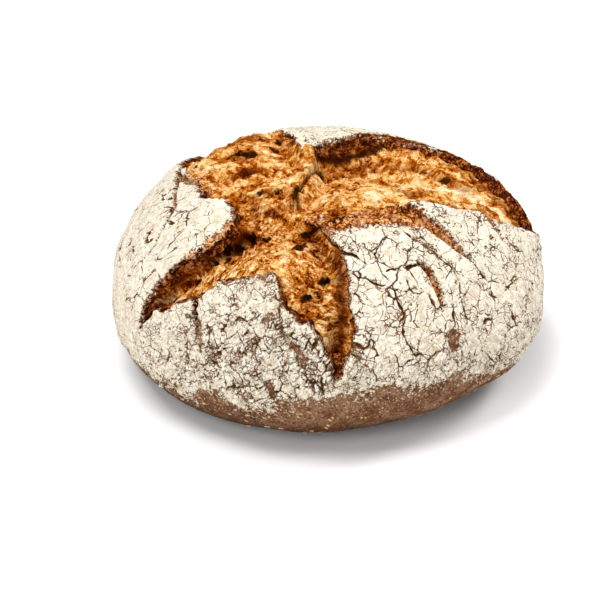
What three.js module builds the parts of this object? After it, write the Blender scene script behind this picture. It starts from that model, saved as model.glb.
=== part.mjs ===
// A round hearth loaf of spelt bread. Its floured crust tore open in the oven into four plates
// round a star of torn crumb, and it stands on a flat foot.
// Millimetres, +Z up, origin at the middle of the foot, the front of the loaf towards -Y.
import * as THREE from "three";
import { mergeVertices } from "three/addons/utils/BufferGeometryUtils.js";

// Driving dimensions of the whole loaf
const WIDTH = 220; // side to side
const DEPTH = 214; // front to back
const HEIGHT = 107; // foot to the top of the crust
const GIRTH_HEIGHT = 37; // height of the widest line above the foot
const UPPER_ROUNDING = 2.3; // 2 is an ellipsoid, more is squarer
const LOWER_ROUNDING = 2.8;
const LOWER_REACH = 42.5; // how far the lower half would go down if the foot did not cut it
const SAG = 6; // the lower half bulges this much more at the left front and less at the right front
const SAG_TURN = 0.78; // radians from +X to the line along which it bulges less

// The crust chart: the crust laid flat as seen from above. Its middle is the top of the loaf, u runs
// to the right, v to the back, and the distance from the middle is the polar angle times this radius.
const CHART_RADIUS = 90;

// Arms of the torn star, from one end to the other: u, v and half the width, on the chart
const TORN_ARMS = {
  left: [
    [-110, -77, 0.5], [-102, -74, 4], [-91, -74, 7], [-81, -74, 10], [-69, -75, 11.5], [-60, -75, 12],
    [-46, -72, 15.5], [-28, -72, 18],
  ],
  notch: [[-69, -85, 3], [-70, -93, 2.4], [-72, -101, 0.6]],
  front: [[-16, -78, 17], [-10, -90, 18.5], [-9, -94, 18.5]],
  frontEnd: [[-1, -104, 12], [0.5, -108, 11.5], [3, -113, 10], [3.5, -118, 9.3], [3, -126, 5], [1, -134, 0.8]],
  right: [[-2, -38, 26], [10, -18, 40], [32, -4, 43], [76, 0, 35], [94, 0, 23], [121, 7, 1]],
  back: [
    [-33, -54, 21], [-36, -40, 19], [-42, -12, 30.5], [-50, 24, 33], [-54, 44, 31], [-53, 60, 26], [-46, 73, 19],
  ],
};
const EDGE_WANDER = 2.4; // how far a plate's edge strays
const WANDER_GAP = 11; // over this spacing

// Slits where a plate split without opening: u, v and half the width, on the chart
const SLITS = {
  rightUpper: [[40, -51, 4], [47, -53, 5], [57, -58.5, 5], [72, -67, 1.5]],
  rightMiddle: [[45, -79, 2], [52, -83, 4], [57, -96, 2]],
  rightSmall: [[79, -33, 1.5], [85, -37, 3.5], [91, -41, 1.5]],
  leftLong: [[-86, 22, 1.5], [-82, -10, 3], [-84, -28, 3], [-96, -43, 1.5]],
};
const SLIT_DEPTH = 3;
const SLIT_RAMP = 3; // width of a slit's sloping side

// Swells and hollows of the torn crumb: the height in the middle, then u, v and reach along it
const SWELLS = {
  backFold: [7, [[-66, 4, 24], [-54, 36, 26], [-46, 60, 24]]],
  foldFlap: [4, [[-15, 18, 5], [-10, -6, 5], [-14, -26, 5], [-22, -44, 5]]],
  trough: [-8, [[-2, 4, 11], [18, 8, 15], [44, 6, 16], [88, 2, 10]]],
  troughFork: [-3, [[0, -6, 7], [-4, -26, 7], [-12, -46, 6]]],
  palePleat: [3.5, [[6, -44, 9], [28, -36, 10], [56, -24, 9], [92, -8, 6]]],
  leftGully: [-5, [[-102, -75, 4], [-72, -71, 6], [-36, -68, 8]]],
  middleBulge: [3, [[-38, -80, 8], [-20, -84, 9], [-8, -92, 7]]],
  frontGully: [-4, [[-2, -104, 7], [5, -114, 6], [4, -124, 4]]],
};
const TEAR_SINK = 6; // torn crumb lies this far below the crust
const TEAR_RAMP = 9; // over this width from a plate's edge
const RIM_LIFT = 1.8; // a plate's edge curls up by this much
const RIM_WIDTH = 9;
const RIM_LIP = 2; // half the width over which the curl breaks off at the edge

// Crags: height and spacing of the lumps, on the torn crumb and on the crust
const CRUMB_CRAGS = [[2.4, 14], [1.5, 7]];
const CRUST_CRAGS = [[1.6, 38], [0.7, 15]];
const NOISE_SEED = 1871;
const NOISE_GAIN = 1.4; // brings the noise to about -1 to 1

// Facets
const DETAIL = 23; // splits of each edge of the starting icosahedron
const CROWDING = 0.6; // under 1 crowds the facets to the star and leaves few for the flat foot
const CROWD_TILT = 0.5; // radians from the top of the loaf to the crowded place, towards the front
const MERGE_STEP = 0.01;
const EDGE_PULL = 3; // facet corners nearer than this to a plate's edge are drawn towards it
const SLOPE_STEP = 0.1;
const FOOT_BLEND = 12; // the relief fades out over this height above the foot

const { acos, atan2, cos, sin, hypot, exp, abs, min, imul, PI } = Math;
const { clamp, smoothstep } = THREE.MathUtils;

// A repeatable random integer for a lattice corner
function cornerHash(x, y, z) {
  let h = imul(x, 0x8da6b343) ^ imul(y, 0xd8163841) ^ imul(z, 0xcb1ab31f) ^ NOISE_SEED;
  h = imul(h ^ (h >>> 15), 0x2c1b3c6d);
  h = imul(h ^ (h >>> 12), 0x297a2d39);
  return (h ^ (h >>> 15)) >>> 0;
}

// Gradient noise of a point, about -1 to 1, with lumps one gap apart
function noise(point, gap) {
  const spot = point.clone().divideScalar(gap);
  const cell = spot.clone().floor();
  const part = spot.sub(cell);
  const fade = part.toArray().map((t) => t * t * t * (t * (t * 6 - 15) + 10));
  let sum = 0;
  for (let corner = 0; corner < 8; corner += 1) {
    const step = [corner & 1, (corner >> 1) & 1, corner >> 2];
    const h = cornerHash(cell.x + step[0], cell.y + step[1], cell.z + step[2]);
    const slope = [h & 1023, (h >>> 10) & 1023, (h >>> 20) & 1023].map((bits) => bits / 511.5 - 1);
    const away = [part.x - step[0], part.y - step[1], part.z - step[2]];
    const weight = step.reduce((product, s, i) => product * (s ? fade[i] : 1 - fade[i]), 1);
    sum += weight * (slope[0] * away[0] + slope[1] * away[1] + slope[2] * away[2]);
  }
  return NOISE_GAIN * sum;
}

// Lumps of several sizes, each a height and a spacing
function crags(point, sizes) {
  return sizes.reduce((sum, [lift, gap]) => sum + lift * noise(point, gap), 0);
}

// The chart place of a unit direction from the middle of the girth
function chartPlace(direction) {
  const polar = acos(clamp(direction.z, -1, 1));
  return new THREE.Vector2(direction.x, direction.y).setLength(CHART_RADIUS * polar);
}

// The unit direction of a chart place
function chartDirection(place) {
  const polar = place.length() / CHART_RADIUS;
  const flat = place.clone().setLength(sin(polar));
  return new THREE.Vector3(flat.x, flat.y, cos(polar));
}

// The gap from a chart place to the nearest point of a spine, and the spine's width there
function nearestOnSpine(place, spine) {
  let best = { gap: Infinity, width: 1 };
  for (let i = 1; i < spine.length; i += 1) {
    const [au, av, aw] = spine[i - 1];
    const [bu, bv, bw] = spine[i];
    const run = ((place.x - au) * (bu - au) + (place.y - av) * (bv - av)) / hypot(bu - au, bv - av) ** 2;
    const t = clamp(run, 0, 1);
    const gap = hypot(place.x - au - t * (bu - au), place.y - av - t * (bv - av));
    const width = aw + t * (bw - aw);
    if (gap - width < best.gap - best.width) best = { gap, width };
  }
  return best;
}

// Signed distance to the edge of a group of strokes, negative inside them
function strokesDistance(place, strokes) {
  const gaps = Object.values(strokes).map((spine) => {
    const { gap, width } = nearestOnSpine(place, spine);
    return gap - width;
  });
  return min(...gaps);
}

// Signed distance to the torn star's ragged edge, negative on the crumb
function tearDistance(place) {
  const wander = noise(new THREE.Vector3(place.x, place.y, 0), WANDER_GAP);
  return strokesDistance(place, TORN_ARMS) + EDGE_WANDER * wander;
}

// Height of the crust and the torn crumb over the plain dome
function relief(place, point) {
  const edge = tearDistance(place);
  const slit = smoothstep(-strokesDistance(place, SLITS), 0, SLIT_RAMP);
  const torn = smoothstep(-edge, 0, TEAR_RAMP);
  const rim = RIM_LIFT * exp(-((edge / RIM_WIDTH) ** 2)) * smoothstep(edge, -RIM_LIP, RIM_LIP);
  const crust = rim - SLIT_DEPTH * slit + crags(point, CRUST_CRAGS);
  const swells = Object.values(SWELLS).reduce((sum, [lift, spine]) => {
    const { gap, width } = nearestOnSpine(place, spine);
    return sum + lift * exp(-((gap / width) ** 2));
  }, 0);
  const crumb = swells - TEAR_SINK + crags(point, CRUMB_CRAGS);
  return crust + torn * (crumb - crust);
}

// Radius of the plain dome along a unit direction from the middle of the girth
function domeRadius(direction) {
  const upper = direction.z > 0;
  const reach = upper ? HEIGHT - GIRTH_HEIGHT : LOWER_REACH;
  const power = upper ? UPPER_ROUNDING : LOWER_ROUNDING;
  const across = hypot(direction.x / (WIDTH / 2), direction.y / (DEPTH / 2));
  const turn = atan2(direction.y, direction.x);
  const sag = SAG * cos(2 * (turn + SAG_TURN)) * clamp(-2 * direction.z, 0, 1);
  return (across ** power + abs(direction.z / reach) ** power) ** (-1 / power) - sag;
}

// A facet corner of a ball, moved so that the star gets many corners and the foot few
function crowded(corner) {
  const polar = acos(clamp(corner.z, -1, 1));
  const moved = PI * (1 - (1 - polar / PI) ** CROWDING);
  const flat = new THREE.Vector2(corner.x, corner.y).setLength(sin(moved));
  const direction = new THREE.Vector3(flat.x, flat.y, cos(moved));
  return direction.applyAxisAngle(new THREE.Vector3(1, 0, 0), CROWD_TILT);
}

// A direction close to a plate's edge, drawn towards the edge so that facet sides run along it
function drawnToEdge(direction) {
  const place = chartPlace(direction);
  const edge = (spot) => min(tearDistance(spot), strokesDistance(spot, SLITS));
  const gap = edge(place);
  if (abs(gap) > EDGE_PULL) return direction;
  const slopeU = edge(place.clone().setX(place.x + SLOPE_STEP)) - gap;
  const slopeV = edge(place.clone().setY(place.y + SLOPE_STEP)) - gap;
  const uphill = new THREE.Vector2(slopeU, slopeV).normalize();
  return chartDirection(place.addScaledVector(uphill, gap * (abs(gap) / EDGE_PULL - 1)));
}

// The point of the loaf's surface along a unit direction
function surfacePoint(direction) {
  const dome = domeRadius(direction);
  const smooth = direction.clone().multiplyScalar(dome);
  const fade = smoothstep(smooth.z + GIRTH_HEIGHT, 0, FOOT_BLEND);
  const radius = dome + fade * relief(chartPlace(direction), smooth);
  const height = GIRTH_HEIGHT + radius * direction.z;
  if (height > 0) return new THREE.Vector3(radius * direction.x, radius * direction.y, height);
  const cut = -GIRTH_HEIGHT / direction.z;
  return new THREE.Vector3(cut * direction.x, cut * direction.y, 0);
}

// The loaf as one closed surface, trued to the driving sizes
function loafGeometry() {
  const ball = new THREE.IcosahedronGeometry(1, DETAIL);
  ball.deleteAttribute("normal");
  ball.deleteAttribute("uv");
  const geometry = mergeVertices(ball, MERGE_STEP);
  const corners = geometry.getAttribute("position");
  const corner = new THREE.Vector3();
  for (let i = 0; i < corners.count; i += 1) {
    corner.fromBufferAttribute(corners, i).normalize();
    corners.setXYZ(i, ...surfacePoint(drawnToEdge(crowded(corner))));
  }
  geometry.computeBoundingBox();
  const size = geometry.boundingBox.getSize(new THREE.Vector3());
  const middle = geometry.boundingBox.getCenter(new THREE.Vector3());
  geometry.translate(-middle.x, -middle.y, 0);
  geometry.scale(WIDTH / size.x, DEPTH / size.y, HEIGHT / size.z);
  geometry.computeVertexNormals();
  return geometry;
}

const crust = new THREE.MeshStandardMaterial({ color: 0xc4b294, roughness: 0.92, metalness: 0 });
const loaf = new THREE.Mesh(loafGeometry(), crust);
loaf.name = "loaf";

const part = new THREE.Group();
part.name = "spelt_loaf";
part.add(loaf);

export default part;
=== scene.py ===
"""Looks of a round spelt loaf: a floured crust torn open round a star of golden crumb, in a plain studio.

Every shape is worked out on the crust chart, in millimetres: the crust laid flat as seen from above, with
its middle at the crown, u to the right and v to the back. The distance from the middle is the polar angle,
taken at the middle of the girth, times a fixed radius. A chart place becomes a point of the loaf by going out
from the middle of the girth along its direction by the dome's radius plus the relief there.
"""

import functools
import itertools
import logging
import math
from collections.abc import Callable
from dataclasses import dataclass, field
from enum import Enum

import bpy
import numpy as np
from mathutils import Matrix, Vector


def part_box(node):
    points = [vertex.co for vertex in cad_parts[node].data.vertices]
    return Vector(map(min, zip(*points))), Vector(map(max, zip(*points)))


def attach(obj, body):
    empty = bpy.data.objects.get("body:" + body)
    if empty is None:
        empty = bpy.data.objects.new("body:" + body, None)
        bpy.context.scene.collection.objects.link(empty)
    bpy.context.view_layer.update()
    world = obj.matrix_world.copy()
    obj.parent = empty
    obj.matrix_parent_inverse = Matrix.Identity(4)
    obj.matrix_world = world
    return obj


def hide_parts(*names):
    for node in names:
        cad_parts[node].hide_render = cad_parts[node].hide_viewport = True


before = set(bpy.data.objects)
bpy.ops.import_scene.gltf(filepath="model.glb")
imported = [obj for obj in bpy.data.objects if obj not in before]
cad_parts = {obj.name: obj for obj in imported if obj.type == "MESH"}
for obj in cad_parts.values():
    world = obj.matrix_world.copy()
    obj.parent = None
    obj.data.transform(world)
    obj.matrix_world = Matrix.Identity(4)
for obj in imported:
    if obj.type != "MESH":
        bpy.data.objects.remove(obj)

LOG = logging.getLogger("spelt_loaf")
Array = np.ndarray
Spine = tuple[tuple[float, float, float], ...]
Strokes = dict[str, Spine]
Zones = dict[str, tuple[float, Spine]]
Sizes = tuple[tuple[float, float], ...]
Spots = tuple[tuple[float, float, float, float, float], ...]
Colour = tuple[float, float, float]
Stops = tuple[tuple[float, Colour], ...]
Socket = bpy.types.NodeSocket

NODE = "loaf"
BODY = "root"
MM = 0.001
LOAF_MIDDLE = (0.0, 0.0, 0.05)
TINY = 1e-6
NO_LENGTH = 1e-12
STAR_BOX = ((-112.0, -138.0), (124.0, 84.0))
DRAWS_PER_BIT = 400
NOISE_SEED = 1871
NOISE_GAIN = 1.4
HASH_STEPS = (0x8DA6B343, 0xD8163841, 0xCB1AB31F)
HASH_MIXERS = (0x2C1B3C6D, 0x297A2D39)
HASH_BITS = 10
HASH_TOP = (1 << HASH_BITS) - 1


class Slot(str, Enum):
    """Names for the materials of the crust, the crumb and the bran flakes."""

    CRUST = "floured_crust"
    CRUMB = "torn_crumb"
    FLAKE = "bran_flakes"


class Mark(str, Enum):
    """Vertex attributes that carry a surface's marks to its finish."""

    FLOUR = "flour"
    CRACK = "crack"
    TEAR = "tear"
    SKIN = "skin"
    TOAST = "toast"
    GRAIN = "grain"
    RELIEF = "relief"
    PALE = "pale"
    # Toasting by the oven, and painted shade in the crumb's deep zones.
    SCORCH_AND_SHADE = "scorch_and_shade"
    # Painted shade of the crumb's pores and hollows, under its folds and at the feet of its flakes.
    DARK = "dark"
    FIBRE = "fibre"


def smoothstep(low: float, high: float, value: Array) -> Array:
    """Rises from 0 at low to 1 at high along 3t^2 - 2t^3; low may be the larger."""
    t = np.clip((value - low) / (high - low), 0.0, 1.0)
    return t * t * (3.0 - 2.0 * t)


def corner_hash(cell: Array, seed: int) -> Array:
    """Draws a repeatable random integer for each lattice corner by mixing its three whole coordinates.

    Args:
        cell: whole coordinates, shape (..., 3).
        seed: a number that makes one lattice differ from another.

    Returns:
        Unsigned 32-bit integers, shape (...).
    """
    whole = cell.astype(np.int64).astype(np.uint32)
    mixed = np.full(whole.shape[:-1], seed, dtype=np.uint32)
    for axis, step in enumerate(HASH_STEPS):
        mixed = mixed ^ (whole[..., axis] * np.uint32(step))
    mixed = (mixed ^ (mixed >> np.uint32(15))) * np.uint32(HASH_MIXERS[0])
    mixed = (mixed ^ (mixed >> np.uint32(12))) * np.uint32(HASH_MIXERS[1])
    return mixed ^ (mixed >> np.uint32(15))


def hash_parts(mixed: Array) -> Array:
    """Splits each random integer into three numbers from 0 to 1, by ten bits each."""
    shifts = np.arange(3, dtype=np.uint32) * np.uint32(HASH_BITS)
    return ((mixed[..., None] >> shifts) & np.uint32(HASH_TOP)) / HASH_TOP


def noise(points: Array, gap: float, seed: int = NOISE_SEED) -> Array:
    """Gradient noise: each lattice corner has a random slope, and the eight round a point blend by t^5 fades.

    Args:
        points: places in millimetres, shape (..., 3).
        gap: spacing of the lumps in millimetres.
        seed: picks the lattice.

    Returns:
        Values of about -1 to 1, shape (...).
    """
    spot = points / gap
    cell = np.floor(spot)
    part = spot - cell
    fade = part**3 * (part * (part * 6.0 - 15.0) + 10.0)
    total = np.zeros(points.shape[:-1])
    for step in itertools.product((0, 1), repeat=3):
        corner = np.array(step)
        slope = hash_parts(corner_hash(cell + corner, seed)) * 2.0 - 1.0
        weight = np.prod(np.where(corner == 1, fade, 1.0 - fade), axis=-1)
        total += weight * np.sum(slope * (part - corner), axis=-1)
    return NOISE_GAIN * total


def on_chart(u: Array, v: Array) -> Array:
    """Chart places as points of height 0, shape (..., 3)."""
    return np.stack([u, v, np.zeros_like(u)], axis=-1)


def strays(points: Array, size: float, gap: float, seeds: tuple[int, int, int]) -> Array:
    """Three noises of one size and spacing, to shift points by, shape (..., 3)."""
    return np.stack([size * noise(points, gap, seed) for seed in seeds], axis=-1)


def crags(points: Array, sizes: Sizes) -> Array:
    """Adds up lumps of several sizes, each a height and a spacing in millimetres."""
    return sum(lift * noise(points, gap) for lift, gap in sizes)


def ridges(points: Array, gap: float, seed: int) -> Array:
    """Sharp-crested noise, 1 - 2|n|: about 1 along thin winding crests and lower between them."""
    return 1.0 - 2.0 * np.abs(noise(points, gap, seed))


@dataclass(frozen=True)
class Cells:
    """What a point finds in a field of random cells: its wall, its seed point and its cell's own number."""

    wall: Array
    seed_gap: Array
    number: Array


def cells(points: Array, gap: float, seed: int) -> Cells:
    """Random cells round one seed point per lattice box; a wall is midway between the two nearest seeds.

    The distance to the wall is (d2^2 - d1^2) / (2 |s2 - s1|), for the nearest seeds s1 and s2 at d1 and d2.

    Args:
        points: places in millimetres, shape (..., 3).
        gap: spacing of the cells in millimetres.
        seed: picks the lattice.

    Returns:
        Distances in millimetres, and a number from 0 to 1 for the cell.
    """
    spot = (points / gap).astype(np.float32)
    box = np.floor(spot)
    near = np.full(spot.shape[:-1], np.inf, dtype=np.float32)
    next_near = near.copy()
    near_seed = np.zeros_like(spot)
    next_seed = np.zeros_like(spot)
    number = np.zeros_like(near)
    for offset in itertools.product((-1, 0, 1), repeat=3):
        corner = box + np.array(offset, dtype=np.float32)
        mixed = corner_hash(corner, seed)
        place = (corner + hash_parts(mixed)).astype(np.float32)
        squared = np.sum((place - spot) ** 2, axis=-1)
        closer = squared < near
        second = ~closer & (squared < next_near)
        next_seed = np.where(closer[..., None], near_seed, np.where(second[..., None], place, next_seed))
        next_near = np.where(closer, near, np.where(second, squared, next_near))
        near_seed = np.where(closer[..., None], place, near_seed)
        near = np.where(closer, squared, near)
        number = np.where(closer, (mixed & np.uint32(HASH_TOP)) / HASH_TOP, number)
    apart = np.sqrt(np.sum((next_seed - near_seed) ** 2, axis=-1)) + TINY
    wall = gap * (next_near - near) / (2.0 * apart)
    return Cells(wall.astype(float), gap * np.sqrt(near).astype(float), number.astype(float))


@dataclass(frozen=True)
class Nearness:
    """Where a chart place lies by a spine: the gap to it, its width there, the way to it and its side."""

    gap: Array
    width: Array
    way_u: Array
    way_v: Array
    side: Array

    @property
    def outside(self) -> Array:
        """Signed distance to the stroke's edge, negative inside it."""
        return self.gap - self.width


def by_spine(u: Array, v: Array, spine: Spine, by_edge: bool = True) -> Nearness:
    """Finds the nearest place on a spine of straight runs whose width changes evenly along each run.

    Args:
        u: chart places to the right, in millimetres.
        v: chart places to the back, in millimetres.
        spine: corners, each u, v and width.
        by_edge: takes the run whose edge is closest, or else the run whose middle is.

    Returns:
        The nearness to that run; its side is 1 to the left of the run and -1 to the right.
    """
    best: Nearness | None = None
    for (au, av, aw), (bu, bv, bw) in itertools.pairwise(spine):
        run_u, run_v = bu - au, bv - av
        along = np.clip(((u - au) * run_u + (v - av) * run_v) / (run_u**2 + run_v**2), 0.0, 1.0)
        to_u, to_v = au + along * run_u - u, av + along * run_v - v
        gap = np.hypot(to_u, to_v)
        width = aw + along * (bw - aw)
        scale = 1.0 / np.maximum(gap, TINY)
        side = np.where(run_u * (v - av) - run_v * (u - au) > 0.0, 1.0, -1.0)
        found = Nearness(gap, width, to_u * scale, to_v * scale, side)
        best = found if best is None else closer_of(found, best, by_edge)
    return best


def closer_of(a: Nearness, b: Nearness, by_edge: bool = True) -> Nearness:
    """Takes, place by place, whichever stroke's edge is closer, or whichever spine is.

    Args:
        a: the nearness to one stroke.
        b: the nearness to the other.
        by_edge: goes by the strokes' edges, or else by their middles.

    Returns:
        The nearness to the closer one.
    """
    first = a.outside < b.outside if by_edge else a.gap < b.gap
    pairs = ((a.gap, b.gap), (a.width, b.width), (a.way_u, b.way_u), (a.way_v, b.way_v), (a.side, b.side))
    return Nearness(*(np.where(first, x, y) for x, y in pairs))


def by_strokes(u: Array, v: Array, strokes: Strokes) -> Nearness:
    """Finds the nearness to the closest of several strokes."""
    found = (by_spine(u, v, spine) for spine in strokes.values())
    return functools.reduce(lambda best, other: closer_of(other, best), found)


def bump_along(u: Array, v: Array, spine: Spine) -> Array:
    """A soft ridge of height 1 along a spine, exp(-(gap / reach)^2) across it."""
    near = by_spine(u, v, spine)
    return np.exp(-((near.gap / near.width) ** 2))


@dataclass(frozen=True)
class Dome:
    """The plain dome of the loaf before it tore, sized to the solid's box."""

    width: float
    depth: float
    height: float
    girth_height: float = 37.0
    upper_rounding: float = 2.3
    lower_rounding: float = 2.8
    lower_reach: float = 42.5
    sag: float = 6.0
    sag_turn: float = 0.78
    chart_radius: float = 90.0

    def direction(self, turn: Array, reach: Array) -> Array:
        """Unit direction of a chart place given by its turn from +u and its reach from the crown."""
        polar = reach / self.chart_radius
        return np.stack([np.sin(polar) * np.cos(turn), np.sin(polar) * np.sin(turn), np.cos(polar)], axis=-1)

    def radius(self, direction: Array) -> Array:
        """Radius of the dome: (across^n + up^n)^(-1/n), rounder above the girth, and sagging below it.

        Args:
            direction: unit directions from the middle of the girth, shape (..., 3).

        Returns:
            The radii in millimetres, shape (...).
        """
        x, y, z = np.moveaxis(direction, -1, 0)
        upper = z > 0.0
        reach = np.where(upper, self.height - self.girth_height, self.lower_reach)
        power = np.where(upper, self.upper_rounding, self.lower_rounding)
        across = np.hypot(x / (self.width / 2.0), y / (self.depth / 2.0))
        sag = self.sag * np.cos(2.0 * (np.arctan2(y, x) + self.sag_turn)) * np.clip(-2.0 * z, 0.0, 1.0)
        return (across**power + np.abs(z / reach) ** power) ** (-1.0 / power) - sag

    def place(self, direction: Array, radius: Array) -> Array:
        """Point of the loaf at a radius along a direction, cut flat where it would go below the foot.

        Args:
            direction: unit directions from the middle of the girth, shape (..., 3).
            radius: how far to go along them, in millimetres.

        Returns:
            The points in millimetres above the foot, shape (..., 3).
        """
        point = direction * radius[..., None]
        low = point[..., 2] < -self.girth_height
        shrink = np.where(low, -self.girth_height / np.where(low, point[..., 2], -1.0), 1.0)
        point = point * shrink[..., None]
        point[..., 2] += self.girth_height
        return point


def torn_arms() -> Strokes:
    """Arms of the torn star on the chart, each corner u, v and half the width."""
    return {
        "left": ((-110, -77, 0.5), (-102, -74, 4), (-91, -74, 7), (-81, -74, 10), (-69, -75, 11.5),
                 (-60, -75, 12), (-46, -72, 15.5), (-28, -72, 18)),
        "notch": ((-69, -85, 3), (-70, -93, 2.4), (-72, -101, 0.6)),
        "front": ((-16, -78, 17), (-10, -90, 18.5), (-9, -94, 18.5)),
        "front_end": ((-1, -104, 12), (0.5, -108, 11.5), (3, -113, 10), (3.5, -118, 9.3), (3, -126, 5),
                      (1, -134, 0.8)),
        "right": ((-2, -38, 26), (10, -18, 40), (32, -4, 43), (76, 0, 35), (94, 0, 23), (121, 7, 1)),
        "back": ((-33, -54, 21), (-36, -40, 19), (-42, -12, 30.5), (-50, 24, 33), (-54, 44, 31),
                 (-53, 60, 26), (-46, 73, 19)),
    }


def slits() -> Strokes:
    """Slits where a plate split without opening, each corner u, v and half the width."""
    return {
        "right_upper": ((40, -51, 3.5), (47, -53, 4.5), (57, -58.5, 4.5), (66, -63.5, 2.8), (72, -67, 0.6)),
        "right_middle": ((45, -80, 1), (50, -82, 2.2), (55, -89, 2.2), (57.5, -96, 0.6)),
        "right_small": ((79, -33, 0.6), (84, -36, 1.9), (91, -43, 0.6)),
        "left_long": ((-84, 25, 1.2), (-83.5, 8, 1.8), (-83.5, -8, 1.0), (-83, -26, 1.0), (-92, -42, 0.4)),
    }


def bare_patches() -> Strokes:
    """Places where the flour came off a plate, each corner u, v and half the width."""
    return {
        "front_stripe": ((-26, -112.5, 0.5), (-22, -116.5, 1.2), (-18, -120.5, 1.6), (-15.5, -124.5, 3.0)),
        "front_notch": ((-69, -97, 2.0), (-71, -104, 1.4), (-72, -109, 0.6)),
        "front_low": ((-37, -132, 1.8), (-35, -138, 1.5)),
        "front_left": ((-66, -108, 0.8), (-64, -114, 0.6)),
        "front_side": ((-78, -98, 0.6), (-83, -108, 1.2)),
        "front_corner": ((-36, -88.5, 1.0), (-31, -92, 1.2)),
        "front_neck": ((-28, -103, 0.8), (-33, -107.5, 1.8)),
        "right_brown": ((66, -104, 3.6), (68, -108, 3.0)),
        "right_worn": ((44, -68, 1.2), (50, -70, 1.6), (56, -73, 0.8)),
        "left_shoulder": ((-82, 8, 2), (-74, -8, 3), (-67, -17, 2)),
    }


def torn_skins() -> Strokes:
    """Torn rims without flour, browned by the oven, each corner u, v and half the width."""
    return {
        "right_lip": ((-16, -66, 5), (-4, -66, 6), (6, -64, 5.5), (26, -56, 7.5), (42, -53, 8.5)),
        "left_rim": ((-100, -70, 0.6), (-84, -66, 1.0), (-70, -64, 1.5), (-58, -61, 2), (-53, -56, 2)),
    }


def burnt_rims() -> Strokes:
    """Torn rims that the oven burnt dark, each corner u, v and half the width."""
    return {
        "back": ((20, 40, 4), (31, 46, 8), (45, 48, 12), (60, 47, 9), (82, 38, 6.5), (100, 24, 4.5),
                 (118, 9, 3)),
        "lip": ((-13, -68.5, 0.9), (-6, -66.5, 1.3), (3, -63.5, 1.4), (10, -61.5, 0.8)),
    }


def main_cracks() -> Strokes:
    """The widest cracks of the right plate, each corner u, v and half the width."""
    return {
        "slab_side": ((30, -69, 0.2), (26, -75, 0.4), (22.5, -80, 0.5), (24, -86, 0.4), (31, -94, 0.5)),
        "slab_foot": ((28, -87.5, 0.3), (38, -83.5, 0.5), (46, -80.5, 0.5)),
        "slab_split": ((34, -73.5, 0.2), (35.5, -77, 0.4), (36, -80, 0.2)),
        "long_cross": ((11, -91, 0.3), (18, -93, 0.6), (30, -95, 0.4), (40, -94, 0.3), (48, -92, 0.2)),
        "notch": ((0, -78, 0.8), (6, -80.5, 0.9), (12, -83, 0.7), (18, -86, 0.3)),
        "mid_fall": ((31, -95, 0.4), (34, -100, 0.4), (37, -104, 0.5), (35, -109, 0.2)),
        "round_slab": ((37, -103, 0.4), (38, -112, 0.6), (44, -118, 0.5), (52, -116, 0.2)),
        "strip_end": ((70, -64, 0.4), (76, -69, 0.6), (83, -71, 0.4), (90, -66, 0.2)),
        "strip_line": ((71, -49, 0.2), (80, -54, 0.4), (92, -58, 0.2)),
        "strip_second": ((70, -54, 0.2), (78, -59, 0.4), (86, -62, 0.2)),
        "right_fall": ((60, -84, 0.3), (63, -92, 0.6), (66, -100, 0.9)),
        "right_side": ((64, -77, 0.2), (67, -86, 0.5), (73, -96, 0.3)),
    }


def swells() -> Zones:
    """Swells and hollows of the torn crumb: the height in the middle, then u, v and reach along it."""
    return {
        "back_fold": (7.0, ((-66, 4, 24), (-54, 36, 26), (-46, 60, 24))),
        "fold_flap": (4.0, ((-15, 18, 5), (-10, -6, 5), (-14, -26, 5), (-22, -44, 5))),
        "trough": (-8.0, ((-2, 4, 11), (18, 8, 15), (44, 6, 16), (88, 2, 10))),
        "trough_fork": (-3.0, ((0, -6, 7), (-4, -26, 7), (-12, -46, 6))),
        "pale_pleat": (3.5, ((6, -44, 9), (28, -36, 10), (56, -24, 9), (92, -8, 6))),
        "left_gully": (-5.0, ((-102, -75, 4), (-72, -71, 6), (-36, -68, 8))),
        "middle_bulge": (3.0, ((-38, -80, 8), (-20, -84, 9), (-8, -92, 7))),
        "front_gully": (-4.0, ((-2, -104, 7), (5, -114, 6), (4, -124, 4))),
    }


def folds() -> Strokes:
    """Torn edges where the crumb lies over itself, each corner u, v and lift; the left side lies on top."""
    return {
        "flap": ((-24, -54, 0.5), (-23, -44, 2.5), (-21, -33, 3.5), (-16, -20, 4), (-11.5, -5, 4.5),
                 (-9.5, 9, 5), (-11, 19, 5), (-16, 28, 4), (-25, 40, 2)),
        "lip": ((-15, -71, 0.5), (-9, -65, 2.5), (-3, -61, 3.5), (4, -59, 3), (12, -59, 0.5)),
        "streak": ((-57, -11, 0.5), (-50, -5, 2.2), (-42, 3, 0.6)),
        "upper_flake": ((-78, 4, 0.5), (-72, 7, 2.2), (-64, 9, 0.5)),
        "middle_flake": ((-62, 14, 0.5), (-52, 14, 1.8), (-42, 20, 1.8), (-34, 26, 0.5)),
        "lower_flake": ((-52, -31, 0.5), (-45, -28, 2), (-38, -30, 1.2), (-33, -29.5, 2), (-27, -33, 0.5)),
        "shred": ((-46, -50, 0.5), (-38, -47, 2), (-30, -48, 0.5)),
        "trough_shred": ((8, -20, 0.5), (22, -18, 1.6), (40, -12, 1.6), (54, -4, 0.5)),
        "pleat_edge": ((34, -32, 0.5), (42, -28, 1.6), (60, -30, 1.4), (76, -27, 1.6), (90, -22, 0.5)),
        "back_shred": ((24, 14, 0.5), (44, 22, 2.2), (66, 20, 2.2), (86, 10, 0.5)),
    }


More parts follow.
